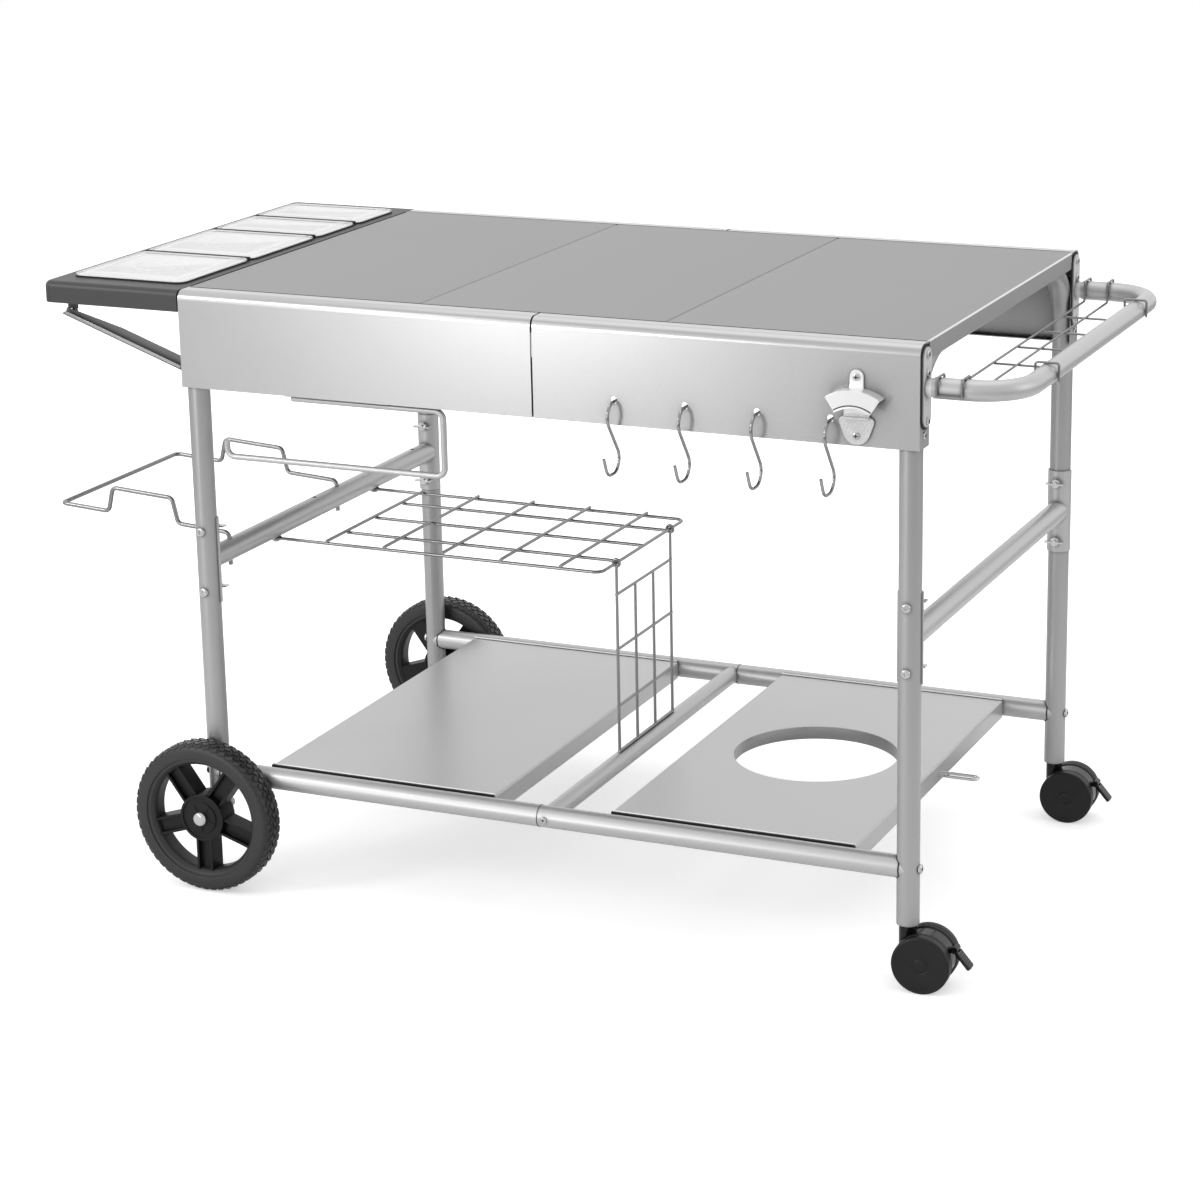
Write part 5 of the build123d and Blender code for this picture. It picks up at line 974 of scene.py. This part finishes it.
for joint in frame["joints"]:
    if not joint["name"].startswith("wheel_"):
        continue
    node = joint["child"]
    low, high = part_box(node)
    middle = (low + high) / 2
    out_way = Vector((0, 1 if middle.y > 0 else -1, 0))
    place = Matrix.Translation(middle) @ out_way.to_track_quat("Z", "Y").to_matrix().to_4x4()
    outer_r = (high.z - low.z) / 2 - tread_h
    half_w = (high.y - low.y) / 2
    flank = (
        (wall_r, half_w, wall_round), (wall_r, half_w - wall_step, step_round),
        (lip_r, half_w - wall_step, lip_round), (rim_r, half_w - rim_step, rim_round),
    )
    crown = [(outer_r, -half_w, crown_round), (outer_r, half_w, crown_round)]
    tyre = bmesh.new()
    lathe(tyre, rounded(crown + both_sides(flank)), place, steps=120)
    tyre_piece = made_object(f"tyre_{node}", tyre, tyre_black, sharp=50)
    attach(tyre_piece, node)

    hub_top = half_w - hub_inset
    groove_floor = hub_top - groove_depth
    boss = (
        (bore_r, hub_top, bore_round), (boss_r, hub_top, boss_round), (boss_r, groove_floor, groove_round),
        (groove_r, groove_floor, groove_round), (groove_r, hub_top, boss_round), (hub_r, hub_top, hub_round),
    )
    hub = bmesh.new()
    lathe(hub, rounded(both_sides(boss), steps=3), place, steps=72)
    face = half_w - spoke_inset
    half_spoke, inner_spoke = spoke_w / 2, spoke_w / 2 - spoke_rib
    channel_floor, key_top = face - spoke_floor, hub_top + key_h
    channel = (
        (-half_spoke, -face), (half_spoke, -face), (half_spoke, face),
        (inner_spoke, face), (inner_spoke, channel_floor),
        (-inner_spoke, channel_floor), (-inner_spoke, face), (-half_spoke, face),
    )
    key = ((-key_half, hub_top), (key_half, hub_top), (key_half, key_top), (-key_half, key_top))
    straight = place.to_3x3()
    for number in range(spoke_count):
        turn = math.tau * number / spoke_count - math.pi / 2
        aim = straight @ Vector((math.cos(turn), math.sin(turn), 0))
        side = straight @ Vector((-math.sin(turn), math.cos(turn), 0))
        upward = straight @ Vector((0, 0, 1))
        section = [middle + side * across + upward * height for across, height in channel]
        prism(hub, section, aim * (hub_r - spoke_bite), aim * (rim_r + spoke_bite))
        section = [middle + side * across + upward * height for across, height in key]
        prism(hub, section, aim * key_start, aim * (boss_r - key_gap))
    hub_piece = made_object(f"spokes_{node}", hub, wheel_black, sharp=40)
    ease_edges(hub_piece, width=0.0007, segments=2, angle=50)
    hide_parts(node)
    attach(hub_piece, node)

    tread_values = {
        "Rows": 5, "Blocks in a row": 52, "Radius": outer_r - tread_sink, "Width": 0.0290,
        "Shoulder drop": 0.0016, "Shoulder tilt": 0.55, "Slant": 0.55,
        "Block": (2 * tread_h, 0.0096, 0.0064), "Rubber": tread_black,
    }
    tread_piece = grown(f"tread_{node}", tread, tread_values, place)
    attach(tread_piece, node)

# Casters
# Twin-wheel swivel casters: smooth black discs either side of a glossy fender, on a stem in a grey
# plug, with a ribbed brake pedal hooked on the fender's rear.
caster_values = {"Colour": grey(8), "Roughness": 0.2}
caster_black = finish(
    "caster moulding", moulded, caster_values, bump=0.05, Coat_Weight=0.2, Specular_IOR_Level=0.3
)
disc_values = {"Colour": grey(7), "Roughness": 0.4}
caster_rubber = finish("caster tread", moulded, disc_values, bump=0.05, Specular_IOR_Level=0.4)
plug_values = {"Colour": grey(150), "Roughness": 0.45}
grey_moulding = finish("grey plug moulding", moulded, plug_values, bump=0.06)
ribs, given, result = growing_tree(
    "grip ribs", (("Count", WHOLE), ("Pitch", FLOAT), ("Rib", VECTOR), ("Plastic", MATERIAL))
)
step = put(ribs, "ShaderNodeCombineXYZ", X=given["Pitch"]).outputs[0]
line = put(ribs, "GeometryNodeMeshLine", Count=given["Count"], Offset=step).outputs[0]
rib = put(ribs, "GeometryNodeMeshCube", Size=given["Rib"]).outputs[0]
normal = put(ribs, "GeometryNodeInputNormal").outputs[0]
upward = put(ribs, "ShaderNodeSeparateXYZ", Vector=normal).outputs[2]
rib_top = maths(ribs, "GREATER_THAN", upward, 0.5)
rib = put(ribs, "GeometryNodeScaleElements", Geometry=rib, Selection=rib_top, Scale=0.7).outputs[0]
row = put(ribs, "GeometryNodeInstanceOnPoints", Points=line, Instance=rib).outputs[0]
row = put(ribs, "GeometryNodeRealizeInstances", Geometry=row).outputs[0]
row = put(ribs, "GeometryNodeSetMaterial", Geometry=row, Material=given["Plastic"]).outputs[0]
ribs.links.new(row, result)

disc_near, disc_far, disc_bore, disc_floor, disc_crown = 0.010, 0.029, 0.004, 0.001, 0.0003
shoulder_in, shoulder_run, shoulder_round, tread_round = 0.003, 0.0025, 0.0008, 0.0014
split_start, split_end, split_slope, split_depth = 0.0060, 0.0076, 0.0004, 0.0006
split_round, split_floor_round = 0.0003, 0.0002
brim_in, brim_run, brim_round = 0.0022, 0.0018, 0.0012
dish_in, dish_depth, dish_round = 0.0035, 0.0005, 0.0006
ring_outer, ring_inner, ring_slope, ring_depth, ring_round = 0.0105, 0.0083, 0.0005, 0.0015, 0.0003
ring_outer_depth, ring_inner_depth, ring_outer_round, ring_inner_round = 0.0009, 0.0008, 0.0005, 0.0004
pedal_start, pedal_tilt, pedal_half_t = 0.0095, math.radians(50), 0.00225
for joint in frame["joints"]:
    child = joint["child"]
    if child.startswith("caster_wheels"):
        low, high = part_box(child)
        middle = Vector(joint["pos_m"])
        disc_r = (high.z - low.z) / 2
        axis = Vector(joint["axis"])
        discs = bmesh.new()
        for way in (1, -1):
            place = Matrix.Translation(middle) @ (axis * way).to_track_quat("Z", "Y").to_matrix().to_4x4()
            split_low, split_high = disc_near + split_start, disc_near + split_end
            inner_side = [
                (disc_bore, disc_near, 0.0), (disc_r - shoulder_in, disc_near, shoulder_round),
                (disc_r, disc_near + shoulder_run, tread_round),
            ]
            tread_split = [
                (disc_r, split_low, split_round),
                (disc_r - split_depth, split_low + split_slope, split_floor_round),
                (disc_r - split_depth, split_high - split_slope, split_floor_round),
                (disc_r, split_high, split_round),
            ]
            brim = [
                (disc_r, disc_far - brim_run, brim_round), (disc_r - brim_in, disc_far, brim_round),
                (disc_r - dish_in, disc_far - dish_depth, dish_round),
            ]
            cap = [
                (ring_outer, disc_far - ring_outer_depth, ring_outer_round),
                (ring_outer - ring_slope, disc_far - ring_depth, ring_round),
                (ring_inner + ring_slope, disc_far - ring_depth, ring_round),
                (ring_inner, disc_far - ring_inner_depth, ring_inner_round),
                (0.0, disc_far - disc_crown, 0.0), (0.0, disc_near + disc_floor, 0.0),
            ]
            outline = inner_side + tread_split + brim + cap
            lathe(discs, rounded(outline, steps=3), place, steps=72)
        bmesh.ops.remove_doubles(discs, verts=discs.verts, dist=1e-6)
        bmesh.ops.dissolve_degenerate(discs, edges=discs.edges, dist=1e-6)
        piece = made_object(f"discs_{child}", discs, caster_rubber, sharp=40)
        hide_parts(child)
        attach(piece, child)
    if child.startswith("caster_brake"):
        hinge = Vector(joint["axis"])
        ahead = hinge.cross(Vector((0, 0, 1)))
        along = ahead * math.cos(pedal_tilt) - Vector((0, 0, math.sin(pedal_tilt)))
        above = along.cross(hinge)
        above = -above if above.z < 0 else above
        turned = Matrix((along, hinge, above)).transposed().to_4x4()
        first_rib = Vector(joint["pos_m"]) + along * pedal_start + above * pedal_half_t
        rib_size = (0.0017, 0.0135, 0.0016)
        rib_values = {"Count": 6, "Pitch": 0.0036, "Rib": rib_size, "Plastic": caster_black}
        piece = grown(f"grip_{child}", ribs, rib_values, Matrix.Translation(first_rib) @ turned)
        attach(piece, child)
for place_name in ("front", "rear"):
    eased(f"caster_brake_{place_name}", f"pedal_{place_name}", caster_black, 0.0007)
    dress(caster_black, f"caster_housing_{place_name}")
dress(grey_moulding, "caster_plugs")

# Axles, bolts and screws
# Bright zinc fasteners: capped axle nuts, saddle bolts with wing nuts, and cross-head screws.
zinc_values = {"Colour": grey(205), "Roughness": 0.2}
fastener_zinc = finish("bright zinc fastener", plated, zinc_values, metallic=1.0, bump=0.03)
dress(fastener_zinc, "wheel_axles", "saddle_bolts", "wing_nuts", "frame_screws", "tank_screw")
recess_values = {"Colour": grey(30), "Roughness": 0.5}
recess_dark = finish("shaded recess", plated, recess_values, metallic=0.6, bump=0.02)


def loose_parts(data):
    """The low and high corners of each loose part of a mesh."""
    mesh = bmesh.new()
    mesh.from_mesh(data)
    bmesh.ops.remove_doubles(mesh, verts=mesh.verts, dist=1e-5)
    waiting = set(mesh.verts)
    corners = []
    while waiting:
        part = [waiting.pop()]
        for vert in part:
            for link in vert.link_edges:
                other = link.other_vert(vert)
                if other in waiting:
                    waiting.discard(other)
                    part.append(other)
        places = list(zip(*(vert.co for vert in part)))
        corners.append((Vector(map(min, places)), Vector(map(max, places))))
    mesh.free()
    return sorted(corners, key=lambda pair: tuple(pair[0]))


# Each screw head gets a dark cross of two bars that paints the shade of its cross recess.
crosses, given, result = growing_tree(
    "cross recesses",
    (("Places", "NodeSocketGeometry"), ("Facing", VECTOR), ("Bar", VECTOR), ("Shade", MATERIAL)),
)
bar = put(crosses, "GeometryNodeMeshCube", Size=given["Bar"]).outputs[0]
other_bar = put(crosses, "GeometryNodeTransform", Geometry=bar, Rotation=(0, 0, math.pi / 2)).outputs[0]
both = crosses.nodes.new("GeometryNodeJoinGeometry")
crosses.links.new(bar, both.inputs[0])
crosses.links.new(other_bar, both.inputs[0])
aimed = put(crosses, "FunctionNodeAlignRotationToVector", {"axis": "Z"}, Vector=given["Facing"]).outputs[0]
marks = put(
    crosses, "GeometryNodeInstanceOnPoints", Points=given["Places"], Instance=both.outputs[0], Rotation=aimed
).outputs[0]
marks = put(crosses, "GeometryNodeRealizeInstances", Geometry=marks).outputs[0]
marks = put(crosses, "GeometryNodeSetMaterial", Geometry=marks, Material=given["Shade"]).outputs[0]
crosses.links.new(marks, result)

recess_bar = (0.0038, 0.0010, 0.0006)
head_spots = {}
for low, high in loose_parts(frame["nodes"]["frame_screws"].data):
    span, middle = high - low, (low + high) / 2
    across = [abs(span[(axis + 1) % 3] - span[(axis + 2) % 3]) for axis in range(3)]
    axis = across.index(min(across))
    way = 1 if middle[axis] > 0 else -1
    facing = tuple(way if index == axis else 0 for index in range(3))
    middle[axis] = high[axis] if way > 0 else low[axis]
    head_spots.setdefault(facing, []).append(tuple(middle))
for number, (facing, spots) in enumerate(sorted(head_spots.items())):
    if facing[2]:
        continue
    cross_values = {"Facing": facing, "Bar": recess_bar, "Shade": recess_dark}
    piece = grown(f"screw_crosses_{number}", crosses, cross_values, Matrix(), spots)
    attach(piece, "cart")

# Tank screw
# A bent-wire thumbscrew that clamps the gas bottle: its shank carries a rolled thread.
thread, given, result = growing_tree(
    "rolled thread",
    (("Turns", FLOAT), ("Radius", FLOAT), ("Length", FLOAT), ("Ridge", FLOAT), ("Zinc", MATERIAL)),
)
winding = put(
    thread, "GeometryNodeCurveSpiral", Resolution=12, Rotations=given["Turns"], Start_Radius=given["Radius"],
    End_Radius=given["Radius"], Height=given["Length"],
).outputs[0]
ridge = put(thread, "GeometryNodeCurvePrimitiveCircle", Resolution=5, Radius=given["Ridge"]).outputs[0]
wound = put(thread, "GeometryNodeCurveToMesh", Curve=winding, Profile_Curve=ridge).outputs[0]
wound = put(thread, "GeometryNodeSetMaterial", Geometry=wound, Material=given["Zinc"]).outputs[0]
thread.links.new(wound, result)
low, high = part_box("tank_screw")
screw_r, thread_start, thread_length = 0.0040, 0.0015, 0.054
thread_place = Matrix.Translation((low.x + thread_start, (low.y + high.y) / 2, (low.z + high.z) / 2))
thread_place = thread_place @ Vector((1, 0, 0)).to_track_quat("Z", "Y").to_matrix().to_4x4()
thread_values = {
    "Turns": 43.0, "Radius": screw_r, "Length": thread_length, "Ridge": 0.00035, "Zinc": fastener_zinc,
}
piece = grown("tank_screw_thread", thread, thread_values, thread_place)
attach(piece, "tank_screw")
